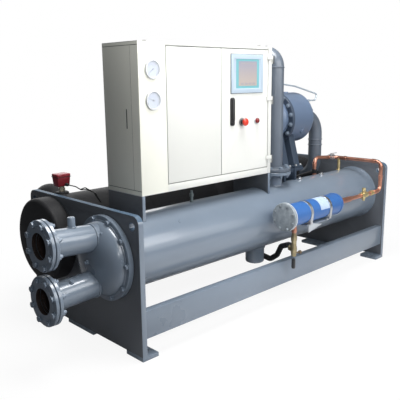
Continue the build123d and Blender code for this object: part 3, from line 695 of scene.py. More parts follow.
def show_picture(material):
    """A switched on display: a soft grey to pink rise of light with fine lines."""
    tree = material.node_tree
    surface = tree.nodes["Principled BSDF"]
    place = add(tree, "ShaderNodeTexCoord").outputs["Object"]
    height = add(tree, "ShaderNodeSeparateXYZ", {0: place}).outputs["Z"]
    ramp = add(tree, "ShaderNodeValToRGB", {0: ranged(tree, height, 1.345, 1.49)})
    ramp.color_ramp.elements[0].color = (0.46, 0.39, 0.34, 1)
    ramp.color_ramp.elements[1].color = (0.31, 0.31, 0.38, 1)
    ramp.color_ramp.elements.new(0.5).color = (0.39, 0.35, 0.35, 1)
    lines = add(tree, "ShaderNodeTexWave", {"Vector": place, "Scale": 260.0}, bands_direction="Z")
    raster = ranged(tree, lines.outputs[1], 0.0, 1.0, 0.94)
    lit = add(tree, "ShaderNodeVectorMath", {0: ramp.outputs[0], "Scale": raster}, operation="SCALE")
    tree.links.new(lit.outputs[0], surface.inputs["Base Color"])
    surface.inputs["Roughness"].default_value = 0.4
    surface.inputs["Specular IOR Level"].default_value = 0.3


def finish(name):
    """A material by its name in the list of finishes, built once."""
    if name in MATERIALS:
        return MATERIALS[name]
    material = bpy.data.materials.new(name)
    MATERIALS[name] = material
    material.use_nodes = True
    slot, colour, settings = FINISHES[name]
    if isinstance(colour, str):
        colour = tuple(getattr(bpy.context.scene.chiller_colours, colour))
    if colour:
        coating(material, colour, **settings)
    else:
        {"gauge_glass": glaze, "screen_picture": show_picture}[name](material)
    return material


# Pieces


def shell_sides():
    """Flat sides round the big shells."""
    return bpy.context.scene.chiller_sizes.shell_sides


def broad(face):
    """Whether a face looks along the chiller."""
    return abs(face.normal.x) > 0.97


def past_hinge_side(face):
    """Whether a face stands out beside the cabinet."""
    return face.center.x > spot(CABINET_RIGHT + 0.4, 0, 0).x


class ChillerPiece(bpy.types.Operator):
    """What every piece's operator shares"""

    bl_options = {"REGISTER", "UNDO"}


class CHILLER_OT_frame(ChillerPiece):
    """End plates, foot pads and rails with rounded edges and welds"""

    bl_idname = "chiller.frame"
    bl_label = "Frame"

    def execute(self, context):
        for end in ("left", "right"):
            plate = refined("end_plate_" + end, ENAMEL, "tube_plate_" + end, 2.5, segments=3)
            # The plates' top and bottom rim faces get painted shade in place of their highlight.
            repainted(plate, "blue_plate_rim", lambda face: abs(face.normal.z) > 0.4)
            # The plates' faces that look along the chiller get the darker enamel as painted shade.
            repainted(plate, "dull_blue_grey_enamel", broad)
        for node in ("feet_left", "feet_right", "rail_front", "rail_back"):
            refined(node, ENAMEL, node + "_painted")
        saddles = refined("cabinet_saddles", ENAMEL, "cabinet_saddles_painted")
        # The saddles' faces that look along the chiller get the darker enamel as painted shade.
        repainted(saddles, "dull_blue_grey_enamel", broad)
        welds = [bead(spot(x, *CONDENSER), X, 197.0, 5.0) for x in (PLATE + 2, LENGTH - PLATE - 2)]
        for x in (PLATE + 1, LENGTH - PLATE - 1):
            welds += [bar(spot(x, y, 112), Z, 143, 3.6, 10) for y in (13.5, 1046.5)]
            for y, wide in ((0.0, 137.0), (446.0, 257.0), (923.0, 137.0)):
                welds.append(bar(spot(x, y + 4, 23.5), Y, wide - 8, 3.4, 10))
        finish_piece(welds, "frame_welds", ENAMEL)
        return {"FINISHED"}


class CHILLER_OT_condenser(ChillerPiece):
    """Condenser shell with its inlet stub, sump and plugs"""

    bl_idname = "chiller.condenser"
    bl_label = "Condenser"

    def execute(self, context):
        sides = shell_sides()
        y = CONDENSER[0]
        parts = [rod(195.5, INSIDE, spot(PLATE, *CONDENSER), X, sides),
                 bar(spot(RISER, y, 640), Z, 124, 54, 48), disc(110, 20, spot(RISER, y, 764), Z, 72),
                 bead(spot(RISER, y, 688), Z, 56.5, 5.0), bead(spot(RISER, y, 763), Z, 55.5, 4.0)]
        finish_piece(parts, "condenser_barrel", ENAMEL, node="condenser_shell")
        cup = [(0, 0), (0, 46), (1.5, 53), (5, 58.5), (10, 61.2), (16, 62), (150, 62), (150, 0)]
        parts = [turned(cup, spot(SUMP, y, 195), Z, 72), rod(11, 14, spot(SUMP, y, 181.5), Z, 6),
                 bead(spot(SUMP, y, 299), Z, 64.0, 4.5)]
        finish_piece(parts, "liquid_sump", ENAMEL, node="condenser_sump")
        plugs = []
        for x in (1640.0, 1905.0):
            plugs += [disc(17, 16, spot(x, 262.0, 683), Z, 32), bar(spot(x, 262.0, 699), Z, 9, 10, 6)]
        finish_piece(plugs, "shell_plugs", "zinc_plate")
        return {"FINISHED"}


class CHILLER_OT_water_boxes(ChillerPiece):
    """Bolted rings and dished heads at both ends of the condenser"""

    bl_idname = "chiller.water_boxes"
    bl_label = "Water boxes"

    def execute(self, context):
        sides = shell_sides()
        steps = 20
        for end, x, out, depth in (("left", 0.0, -X, 92.0), ("right", LENGTH, X, 46.0)):
            name = "water_box_" + end
            start = spot(x, *CONDENSER)
            profile = [(24, 187), (24, 197), (30, 197)]
            for i in range(steps + 1):
                lean = math.pi / 2 * i / steps
                profile.append((30 + depth * math.sin(lean), 197.0 * math.cos(lean)))
            plug = [(0, 0), (0, 13), (12, 13), (12, 8), (20, 8), (20, 0)]
            parts = [disc(225, 30, start, out, sides, 2.0, 187), turned(profile, start, out, sides),
                     bead(start + out * 31 * MM, out, 199.0, 4.5),
                     turned(plug, start + out * (28 + depth) * MM, out, 24)]
            finish_piece(parts, name + "_head", ENAMEL, node=name)
            bolts = bolt_circle(start + out * 30 * MM, out, 208.0, 10, head=11.0)
            finish_piece(bolts, name + "_bolts", "painted_bolt")
            line = disc(226.2, 2.0, start - out * 0.2 * MM, out, sides, 0.5, 200)
            finish_piece(line, name + "_gasket", "sheet_gasket")
        return {"FINISHED"}


class CHILLER_OT_water_pipes(ChillerPiece):
    """Condenser water pipes with their flanges, gaskets and bolts"""

    bl_idname = "chiller.water_pipes"
    bl_label = "Water pipes"

    def execute(self, context):
        y, middle = CONDENSER
        mouth = -378.0
        at_head, at_mouth = 116, 137
        bore, outside = 65.35, 69.85
        sunk = 92.0 * math.sqrt(1 - (124.0 / 197.0) ** 2) * 0.45
        ends = []
        for name, side, plugs in (("upper", 1, ((-72, 25), )), ("lower", -1, ((-239, 60), (-311, 75)))):
            start = spot(-PLATE, y, middle + side * at_head)
            end = spot(mouth, y, middle + side * at_mouth)
            run = (end - start).normalized()
            root = start + run * sunk * MM
            weld_neck = end + X * 22 * MM
            length = (root.x - weld_neck.x - 10 * MM) / -run.x / MM
            wall = [(0, bore), (0, outside), (length, outside), (length, bore), (0, bore)]
            parts = [lined(turned(wall, root, run, 72), root, run),
                     lined(disc(125, 18, weld_neck, X, 96, 2.0, 66), weld_neck, X),
                     painted(bead(weld_neck + X * 19 * MM, X, 71.5, 4.0), ENAMEL),
                     painted(bead(start + run * 68 * MM, run, 71.0, 4.5), ENAMEL)]
            if side > 0:
                foot = spot(-200, y, 681)
                stub = [(0, 19), (56, 19), (60, 17.5), (62, 14), (63, 0)]
                parts += [painted(turned(stub, foot, Z, 40), ENAMEL),
                          painted(bead(foot + Z * 11 * MM, Z, 20.5, 3.0), ENAMEL)]
            for x, lean in plugs:
                share = (x + PLATE) / (mouth + PLATE)
                out = around(lean, -Y)
                seat = spot(x, y, middle + side * (at_head + share * (at_mouth - at_head))) + out * 66 * MM
                plug = turned([(0, 0), (0, 12), (9, 12), (9, 9), (17, 9), (17, 0)], seat, out, 24)
                parts.append(painted(plug, "painted_bolt"))
            finish_piece(parts, "water_pipe_" + name + "_run", ENAMEL, node="water_pipe_" + name)
            ends.append(end)
        face = [(0, 65.4), (-2, 66), (-2, 92), (0, 92.5), (0, 123), (2, 125), (16, 125), (18, 123),
                (18, 65.4), (0, 65.4)]
        counters = [lined(turned(face, end, X, 96), end, X) for end in ends]
        finish_piece(counters, "counter_flange_pair", ENAMEL, node="counter_flanges")
        gaskets = [disc(94, 4.4, end + X * 17.8 * MM, X, 72, 0.4, 69.9) for end in ends]
        gaskets.append(disc(79, 3.2, spot(RISER, y, 783.9), Z, 56, 0.4, 54))
        finish_piece(gaskets, "joint_gaskets", "sheet_gasket", node="gaskets")
        bolts = []
        for end in ends:
            bolts += bolt_circle(end, -X, 105.0, 8, 22.5, across=27.0, head=11.0, grip=40.0)
        finish_piece(bolts, "water_flange_bolts", "painted_bolt")
        return {"FINISHED"}


class CHILLER_OT_evaporator(ChillerPiece):
    """Insulated evaporator with taped seams, heads and chilled water pipes"""

    bl_idname = "chiller.evaporator"
    bl_label = "Evaporator"

    def execute(self, context):
        sides = shell_sides()
        start = spot(PLATE, *EVAPORATOR)
        parts = [rod(238.8, INSIDE, start, X, sides)]
        for x in (PLATE, 590.0, 1160.0, 1750.0, 2324.0):
            parts.append(disc(240.0, 46, spot(x, *EVAPORATOR), X, sides, 1.0, 236))
        for lean in (38.0, 160.0, 275.0):
            parts.append(bar(start + around(lean, -Y) * 237.4 * MM, X, INSIDE, 2.4, 8))
        finish_piece(parts, "evaporator_foam", "foam_skin", node="evaporator_shell")
        rim = [(0, 0), (0, 238), (2, 240), (80, 240), (87, 238.6), (93, 235), (98, 228), (100, 220),
               (100, 112), (98.5, 110.5), (98.5, 0)]
        heads = [turned(rim, spot(x, *EVAPORATOR), out, sides) for x, out in ((0, -X), (LENGTH, X))]
        finish_piece(heads, "evaporator_end_caps", "foam_skin", node="evaporator_heads")
        for name, x in (("chilled_pipe_left", 160.0), ("chilled_pipe_right", 2240.0)):
            path = spots((x, 1000, 540), (x, 1000, 668), (x, 1190, 668), (x, 1190, 418.5))
            parts = [piped(path, 87.2, [94.0, 94.0], 64), disc(88, 26, spot(x, 1190, 419), Z, 64, 1.0),
                     disc(88, 22, spot(x, 1190, 552), Z, 64, 1.0)]
            finish_piece(parts, name + "_foam", "foam_skin", node=name)
        refined("chilled_flanges", ENAMEL, "chilled_flange_pair", 1.5)
        return {"FINISHED"}


class CHILLER_OT_flow_switch(ChillerPiece):
    """Red capped flow switch with its neck and leads"""

    bl_idname = "chiller.flow_switch"
    bl_label = "Flow switch"

    def execute(self, context):
        low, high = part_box("flow_switch")
        centre = (low + high) / 2
        cap_height, foam_top = 0.076, 0.724
        base = high.z - cap_height
        cap = shaped(slab((low.x, low.y, base), high), lambda face: face.normal.z < -0.9,
                     lambda: bpy.ops.transform.resize(value=(0.84, 0.84, 1.0),
                                                      center_override=(centre.x, centre.y, base)))
        lid = slab((low.x + 0.001, low.y + 0.001, high.z - 0.020),
                   (high.x - 0.001, high.y - 0.001, high.z - 0.017))
        parts = [painted(soften(cap, 9.0, 4), "switch_cap_red"), painted(lid, "moulded_black")]
        finish_piece(parts, "switch_cap", "switch_cap_red", node="flow_switch")
        foot = Vector((centre.x, centre.y, foam_top))
        boss = turned([(0, 0), (0, 44), (20, 40), (24, 34), (24, 0)], foot, Z, 40)
        finish_piece(boss, "switch_foam_boss", "foam_skin")
        neck = [(0, 0), (0, 15), (30, 15), (30, 19), (46, 19), (48, 15), (57, 15), (57, 0)]
        finish_piece(turned(neck, foot, Z, 6), "switch_neck", "switch_neck")
        gland = turned([(0, 0), (0, 10), (12, 10), (16, 8), (22, 6), (22, 0)],
                       (centre.x + 0.01, low.y + 0.004, base + 0.012), (0.3, -1, -0.1), 24)
        well = turned([(0, 0), (0, 9), (22, 9), (22, 6), (46, 6), (46, 0)], spot(75, 640, 655), Z, 16)
        lead = [Vector((centre.x + 0.016, low.y - 0.014, base + 0.010))]
        lead += spots((140, 770, 782), (150, 735, 768), (160, 700, 782), (190, 640, 752), (205, 610, 700))
        second = spots((150, 733, 766), (165, 690, 772), (185, 650, 756), (205, 615, 700))
        finish_piece([gland, well, piped(lead, 3.2, [14] * 4, 12), piped(second, 3.0, [14] * 2, 12)],
                     "switch_conduits", "moulded_black")
        return {"FINISHED"}


class CHILLER_OT_cabinet(ChillerPiece):
    """Cabinet walls, cover, post and seams"""

    bl_idname = "chiller.cabinet"
    bl_label = "Cabinet"

    def execute(self, context):
        for part in ("base", "top", "back", "side_left", "side_right", "frame"):
            # The cabinet's left side gets the brighter coat as painted light.
            coat = "side_powder_coat" if part == "side_left" else POWDER_COAT
            wall = refined("cabinet_" + part, coat, "cabinet_" + part + "_coated", 0.9)
            if part == "side_right":
                repainted(wall, "hinge_zinc", past_hinge_side)
        refined("cover_panel", POWDER_COAT, "cover_panel_coated", 2.2, segments=3)
        left, right, low, high = 342.0, 1170.0, 840.0, 1560.0
        # Ribs in the gaps round the door, in grey as painted shadow in the seams.
        ribs = [block(x - 1.9, 176.5, low, x + 1.9, 190, high) for x in (left + 2.5, 752.5, right - 2.5)]
        ribs += [block(left, 176.5, z - 1.9, right, 190, z + 1.9) for z in (low + 2.5, high - 2.5)]
        finish_piece(ribs, "door_rebate", "rebate_grey")
        seams = [block(163.6, 176, z - 1.2, 164.4, 470, z + 1.2) for z in (1559.0, 826.0)]
        seams += [block(163.5, 276, 1144, 164.5, 283, 1243), block(163.75, 236, 829, 164.3, 237, 1556)]
        finish_piece(seams, "side_seams", "seam_shadow")
        lugs = [bar(spot(x, y, 1577.5), Z, 5.5, 11, 24) for x in (240.0, 1124.0) for y in (215.0, 430.0)]
        finish_piece(lugs, "roof_plugs", "moulded_black")
        vents = []
        for z in range(1172, 1381, 26):
            vents.append(shaped(block(520, 472.8, z, 840, 476.5, z + 13), lambda face: face.normal.y > 0.9,
                                lambda: bpy.ops.transform.resize(value=(0.96, 1, 0.3),
                                                                 center_override=spot(680, 476.5, z + 11))))
        finish_piece(vents, "rear_louvres", POWDER_COAT)
        return {"FINISHED"}


class CHILLER_OT_door(ChillerPiece):
    """Hinged door with display, handle, stop button and lamp"""

    bl_idname = "chiller.door"
    bl_label = "Door"

    def execute(self, context):
        body = "door_leaf"
        front = CABINET_FRONT
        repainted(refined("door", POWDER_COAT, "door_coated", 2.2, body, 3), "hinge_zinc", past_hinge_side)
        left, right, low, high = 831.0, 1111.0, 1306.0, 1527.0
        bezel = shaped(block(left, front - 7, low, right, front, high), front_face,
                       lambda: inset((0.026, 0.0), (0.0015, -0.003)))
        # A dark sheet just proud of the door round the bezel: a painted drop shadow.
        shadow = block(left - 2.5, front - 1.2, low - 2.5, right + 2.5, front - 0.1, high + 2.5)
        finish_piece([painted(soften(bezel, 2.0, 3), "display_frame"), painted(shadow, "sheet_gasket")],
                     "display_bezel", "display_frame", body, "display")
        border = block(left + 42, front - 4.6, low + 27, right - 36, front - 3.6, high - 27)
        finish_piece(border, "screen_border", "screen_edge", body)
        page = block(894, front - 5.0, 1348, 1054, front - 4.4, 1488)
        finish_piece(page, "screen_page", "screen_picture", body)
        keys = [block(x, front - 5.3, 1354, x + 26, front - 4.8, 1366) for x in (912, 946, 980, 1014)]
        keys.append(block(912, front - 5.3, 1470, 1042, front - 4.8, 1480))
        finish_piece(keys, "screen_keys", "screen_keys", body)
        x = 825.0
        grip = shaped(block(x, front - 9, 1121, x + 33, front - 0.2, 1282), corner_edge,
                      lambda: bpy.ops.mesh.bevel(offset=0.012, segments=5), "EDGE")
        lever = shaped(block(x + 6, front - 16, 1150, x + 27, front - 7, 1276), corner_edge,
                       lambda: bpy.ops.mesh.bevel(offset=0.008, segments=4), "EDGE")
        lock = disc(9, 5, spot(x + 16.5, front - 8.5, 1135), -Y, 28, 1.0)
        parts = [soften(grip, 1.6, 3), soften(lever, 2.0, 3), lock]
        finish_piece(parts, "swing_handle", "moulded_black", body, "door_handle")
        centre = spot(926, front, 1139)
        knob = [(24, 0), (24, 15), (25, 20), (27, 22.6), (30, 23), (34, 22.4), (37.5, 19.5), (39.4, 13),
                (40, 6), (40, 0)]
        parts = [painted(disc(24, 3.5, centre, -Y, 48, 1.2), "collar_grey"),
                 painted(turned([(0, 14), (24, 14), (26, 12)], centre, -Y, 40), "moulded_black"),
                 painted(turned(knob, centre, -Y, 48), "stop_red")]
        finish_piece(parts, "stop_mushroom", "stop_red", body, "stop_button")
        centre = spot(1059, front, 1139)
        lens = [(0, 0), (5, 15.5), (11, 15.5), (15, 13.5), (17.2, 9), (18, 4), (18, 0)]
        parts = [painted(disc(20, 5, centre, -Y, 48, 1.2), "plated_rim"),
                 painted(turned(lens, centre, -Y, 48), "lamp_lens")]
        finish_piece(parts, "lamp_red_lens", "lamp_lens", body, "signal_lamp")
        return {"FINISHED"}


def hand(thing, place, degrees):
    """Turn an upright mark to its angle on the dial."""
    turn = Matrix.Rotation(math.pi / 2 - math.radians(degrees), 4, "Y")
    thing.matrix_world = Matrix.Translation(place) @ turn
    return fixed(thing)


class CHILLER_OT_gauges(ChillerPiece):
    """Two pressure gauges with dials, needles and glass"""

    bl_idname = "chiller.gauges"
    bl_label = "Gauges"

    def execute(self, context):
        rims, dials, marks, panes = [], [], [], []
        rim = [(0, 0), (0, 47), (2, 49), (8, 49), (10.4, 47), (11, 44.5), (10.4, 42), (8, 41), (3, 41),
               (3, 0)]
        out = -Y
        for height, pointer in ((1440.0, 215.0), (1286.0, 160.0)):
            centre = spot(253, CABINET_FRONT, height)
            rims.append(turned(rim, centre, out, 80))
            dials.append(turned([(0, 0), (3.6, 0), (3.6, 40.8), (3, 40.8)], centre, out, 72))
            panes.append(turned([(8.6, 0), (8.6, 41.2), (9.3, 41.2), (9.3, 0)], centre, out, 48))
            for i in range(31):
                wide, tall, reach = (0.0004, 0.004, 35.0) if i % 5 else (0.0006, 0.007, 32.0)
                place = centre + (out * 3.9 + around(225 - i * 9, X) * reach) * MM
                marks.append(hand(slab((-wide, -0.0003, 0), (wide, 0.0003, tall)), place, 225 - i * 9))
            needle = slab((-0.001, -0.0004, -0.010), (0.001, 0.0004, 0.031))
            marks.append(hand(needle, centre + out * 6 * MM, pointer))
            marks.append(disc(4, 3, centre + out * 4 * MM, out, 24, 0.6))
        finish_piece(rims, "gauge_rims", "plated_rim", node="pressure_gauges")
        finish_piece(dials, "gauge_dials", "dial_white")
        finish_piece(marks, "gauge_marks", "dial_black")
        finish_piece(panes, "gauge_glasses", "gauge_glass")
        return {"FINISHED"}


class CHILLER_OT_switchgear(ChillerPiece):
    """Mounting plate and switchgear inside the cabinet"""

    bl_idname = "chiller.switchgear"
    bl_label = "Switchgear"

    def execute(self, context):
        refined("mounting_plate", "zinc_plate", "mounting_plate_zinc", 0.6)
        y = 430.0
        ducts = []
        for z in (880.0, 1130.0, 1330.0, 1490.0):
            ducts.append(soften(block(240, y - 55, z, 1125, y - 0.3, z + 40), 1.5))
            ducts += [block(x, y - 56, z + 6, x + 8, y - 54.6, z + 34) for x in range(248, 1097, 16)]
        finish_piece(ducts, "cable_ducts", "duct_grey")
        gear = []
        rows = ((960, 110, 96, 80, 7), (1195, 90, 54, 68, 13), (1392, 72, 36, 56, 19))
        for z, tall, wide, deep, pieces in rows:
            for i in range(pieces):
                x = 262.0 + i * (wide + 8)
                part = block(x, y - deep, z, x + wide, y - 0.3, z + tall)
                gear.append(soften(shaped(part, front_face, lambda: inset((0.008, 0.006))), 1.2))
        finish_piece(gear, "switchgear", "moulded_black")
        return {"FINISHED"}


class CHILLER_OT_compressor(ChillerPiece):
    """Screw compressor castings, bolts, feet and beams"""

    bl_idname = "chiller.compressor"
    bl_label = "Compressor"

    def execute(self, context):
        casting = "enamel_on_casting"
        motor = spot(1615, *COMPRESSOR)
        body = [(0, 0), (0, 186), (3, 189), (23, 189), (26, 186), (26, 181.5), (30, 180), (240, 180),
                (250, 178.6), (260, 174), (268, 167), (273, 158), (275, 150), (297, 150), (299, 148),
                (299, 0)]
        drum = painted(turned(body, motor, X, shell_sides()), casting)
        # The flange ring at the motor's near end gets painted shade.
        parts = [repainted(drum, "dark_flange_enamel", lambda face: face.center.x < motor.x + 23.5 * MM)]
        for out in (around(90.0), around(210.0), around(330.0)):
            lug = soften(bar(motor + (X * 150 + out * 172) * MM, out, 14, 20, 32), 1.5)
            parts.append(painted(lug, casting))
        finish_piece(parts, "motor_casting", casting, node="compressor_motor")
        bolts = bolt_circle(motor, -X, 172.0, 16, 11.0, across=22.0)
        bolts += bolt_circle(motor + X * 299 * MM, X, 136.0, 12, 8.0, across=19.0, head=8.0)
        finish_piece(bolts, "motor_bolts", "painted_bolt")
        rotor = spot(1270, *COMPRESSOR)
        shape = [(0, 0), (0, 150), (14, 150), (18, 147), (18, 142), (30, 139), (110, 139), (120, 144),
                 (138, 144), (148, 139), (300, 139), (318, 146), (322, 150), (345, 150), (345, 0)]
        cover = [(0, 128), (4, 128), (30, 122), (36, 112), (36, 0)]
        parts = [turned(shape, rotor, X, 112), turned(cover, rotor, -X, 96),
                 bar(spot(RISER, 500, 1226), Z, 56, 62, 48, 55),
                 disc(110, 20, spot(RISER, 500, 1281), Z, 72, 2.0)]
        for lean in (35.0, 90.0, 145.0, 215.0, 325.0):
            parts.append(bar(rotor + (X * 10 + around(lean) * 140) * MM, X, 325, 9, 12))
        finish_piece(parts, "rotor_casting", casting, node="compressor_rotor_housing")
        bolts = bolt_circle(rotor - X * 4 * MM, -X, 138.0, 10, 9.0, across=19.0, head=8.0)
        bolts += bolt_circle(rotor - X * 35 * MM, -X, 92.0, 8, 20.0, across=17.0, head=7.0)
        finish_piece(bolts, "rotor_bolts", "painted_bolt")
        # The compressor feet and beams wear the darker enamel as painted shade.
        refined("compressor_feet", "dark_leg_enamel", "compressor_feet_cast", 3.0, segments=3)
        refined("compressor_beams", "dark_leg_enamel", "compressor_beams_painted", 2.0)
        places = [Matrix.Translation(spot(x, y, 786)) for x in (1504.0, 1556.0, 1624.0, 1676.0)
                  for y in (287.0, 393.0, 607.0, 713.0)]
        finish_piece(copied(hex_bolt(across=15.0, head=9.0, washer=2.0), places), "foot_bolts", "zinc_plate")
        return {"FINISHED"}


class CHILLER_OT_discharge(ChillerPiece):
    """Discharge pipe with welded elbows and bolted flanges"""

    bl_idname = "chiller.discharge"
    bl_label = "Discharge pipe"

    def execute(self, context):
        crown = 1538
        down, up = (CONDENSER[0], 787, 43.0), (COMPRESSOR[0], 1301, 40.0)
        parts = [piped(spots((RISER, down[0], down[1]), (RISER, down[0], crown), (RISER, up[0], crown),
                             (RISER, up[0], up[1])), 54.0, [80, 80])]
        parts += [bead(spot(RISER, y, crown), Y, 54.4, 3.2) for y in (351.0, 420.0)]
        bolts = []
        for y, z, grip in (down, up):
            parts += [bead(spot(RISER, y, 1458), Z, 54.4, 3.2), disc(110, 20, spot(RISER, y, z), Z, 72, 2.0),
                      bead(spot(RISER, y, z + 21), Z, 56.3, 4.5)]
            bolts += bolt_circle(spot(RISER, y, z + 20), Z, 90.0, 8, 22.5, grip=grip)
        # The discharge pipe wears the darker enamel as painted shade.
        finish_piece(parts, "discharge_run", "dark_pipe_enamel", node="discharge_pipe")
        finish_piece(bolts, "discharge_bolts", "painted_bolt")
        return {"FINISHED"}


class CHILLER_OT_suction(ChillerPiece):
    """Suction pipe with welded elbow and flange"""

    bl_idname = "chiller.suction"
    bl_label = "Suction pipe"

    def execute(self, context):
        x = 2158.0
        y, z = COMPRESSOR
        slope = math.tan(math.radians(60))
        low = EVAPORATOR[1] + (EVAPORATOR[0] - y) / slope
        end = EVAPORATOR[1] + 40 / slope
        parts = [piped(spots((1914, y, z), (x, y, z), (x, y, low), (x, 770, end)), 50.8, [152.4, 152.4]),
                 bead(spot(x, y, 917), Z, 51.4, 4.2), bead(spot(x, y, 875), Z, 51.4, 4.2),
                 bead(spot(2005, y, z), X, 51.2, 3.4), disc(107.5, 22, spot(1914, y, z), X, 80, 2.0),
                 bead(spot(1937, y, z), X, 53.0, 4.5)]
        # The suction pipe wears the darker enamel as painted shade.
        finish_piece(parts, "suction_run", "dark_pipe_enamel", node="suction_pipe")
        finish_piece(bolt_circle(spot(1936, y, z), X, 88.0, 8, 22.5), "suction_bolts", "painted_bolt")
        return {"FINISHED"}


class CHILLER_OT_drier(ChillerPiece):
    """Filter drier with cap, straps, bare label and bracket"""

    bl_idname = "chiller.drier"
    bl_label = "Filter drier"

    def execute(self, context):
        y, z = DRIER
        body = [(0, 0), (0, 70), (300, 70), (519, 70), (529, 68), (537, 63), (542, 55), (545, 42), (545, 0)]
        parts = [turned(body, spot(1096, y, z), X, 96), disc(74, 12, spot(1098, y, z), X, 96, bore=69),
                 bead(spot(1600, y, z), X, 70.2, 2.4)]
        finish_piece(parts, "drier_body", "blue_enamel", node="drier_shell")
        face = [(0, 0), (0, 82), (2.5, 86), (6, 88), (19, 88), (24, 86.5), (25, 84), (25, 0)]
        parts = [painted(turned(face, spot(1096, y, z), -X, 96), "olive_grey_enamel"),
                 painted(disc(88.4, 6, spot(1089, y, z), X, 96, 1.2, 80), "bright_rim")]
        finish_piece(parts, "drier_end_cap", "olive_grey_enamel", node="drier_cap")
        bolts = bolt_circle(spot(1071, y, z), -X, 74.0, 8, 22.5, across=13.0, head=5.0, washer=1.5)
        finish_piece(bolts, "drier_cap_bolts", "olive_grey_enamel")
        skin = [(0, 70.15), (0, 70.75), (98, 70.75), (98, 70.15), (0, 70.15)]
        label = turned(skin, spot(1364, y, z), X, 96)
        for place, way in ((spot(1364, y, z + 14), (0, 0.1, -1)), (spot(1364, y + 18, z), (0, 1, 0.1))):
            whole(label)
            bpy.ops.mesh.bisect(plane_co=place, plane_no=way, use_fill=True, clear_outer=True)
            leave()
        finish_piece(label, "bare_label", "label_pale")
        bands = []
        for x in (1270.0, 1476.0):
            near, far = x - 12, x + 12
            tail = shaped(block(near, y - 73, z - 66, far, y - 70.5, z),
                          lambda vert: vert.co.z < spot(0, 0, z - 30).z,
                          lambda: bpy.ops.transform.translate(value=(0, 0.008, 0)), "VERT")
            bands += [disc(73, 24, spot(near, y, z), X, 96, 0.6, 70.1), tail,
                      block(near, y - 66, z - 68, far, y - 44, z - 65),
                      block(near, y - 47, z - 82, far, y - 44, z - 65),
                      bar(spot(x, y - 56, z - 66), Z, 12, 4, 12), bar(spot(x, y - 56, z - 65), Z, 6, 9, 6)]
        finish_piece(bands, "drier_bands", "zinc_plate", node="drier_straps")
        refined("drier_bracket", ENAMEL, "drier_bracket_painted", 1.5)
        # The tab below the drier is painted light grey: painted light on its front face.
        tab = block(1262, y - 51, z - 124, 1404, y - 45, z - 62)
        split = spot(1300, 0, z - 90)
        for upper, shift in ((False, 0.030), (True, -0.030)):
            shaped(tab, lambda vert: vert.co.x > split.x and (vert.co.z > split.z) == upper,
                   lambda: bpy.ops.transform.translate(value=(0, 0, shift)), "VERT")
        finish_piece(soften(tab, 1.2), "drier_bracket_tab", "bracket_grey")
        return {"FINISHED"}


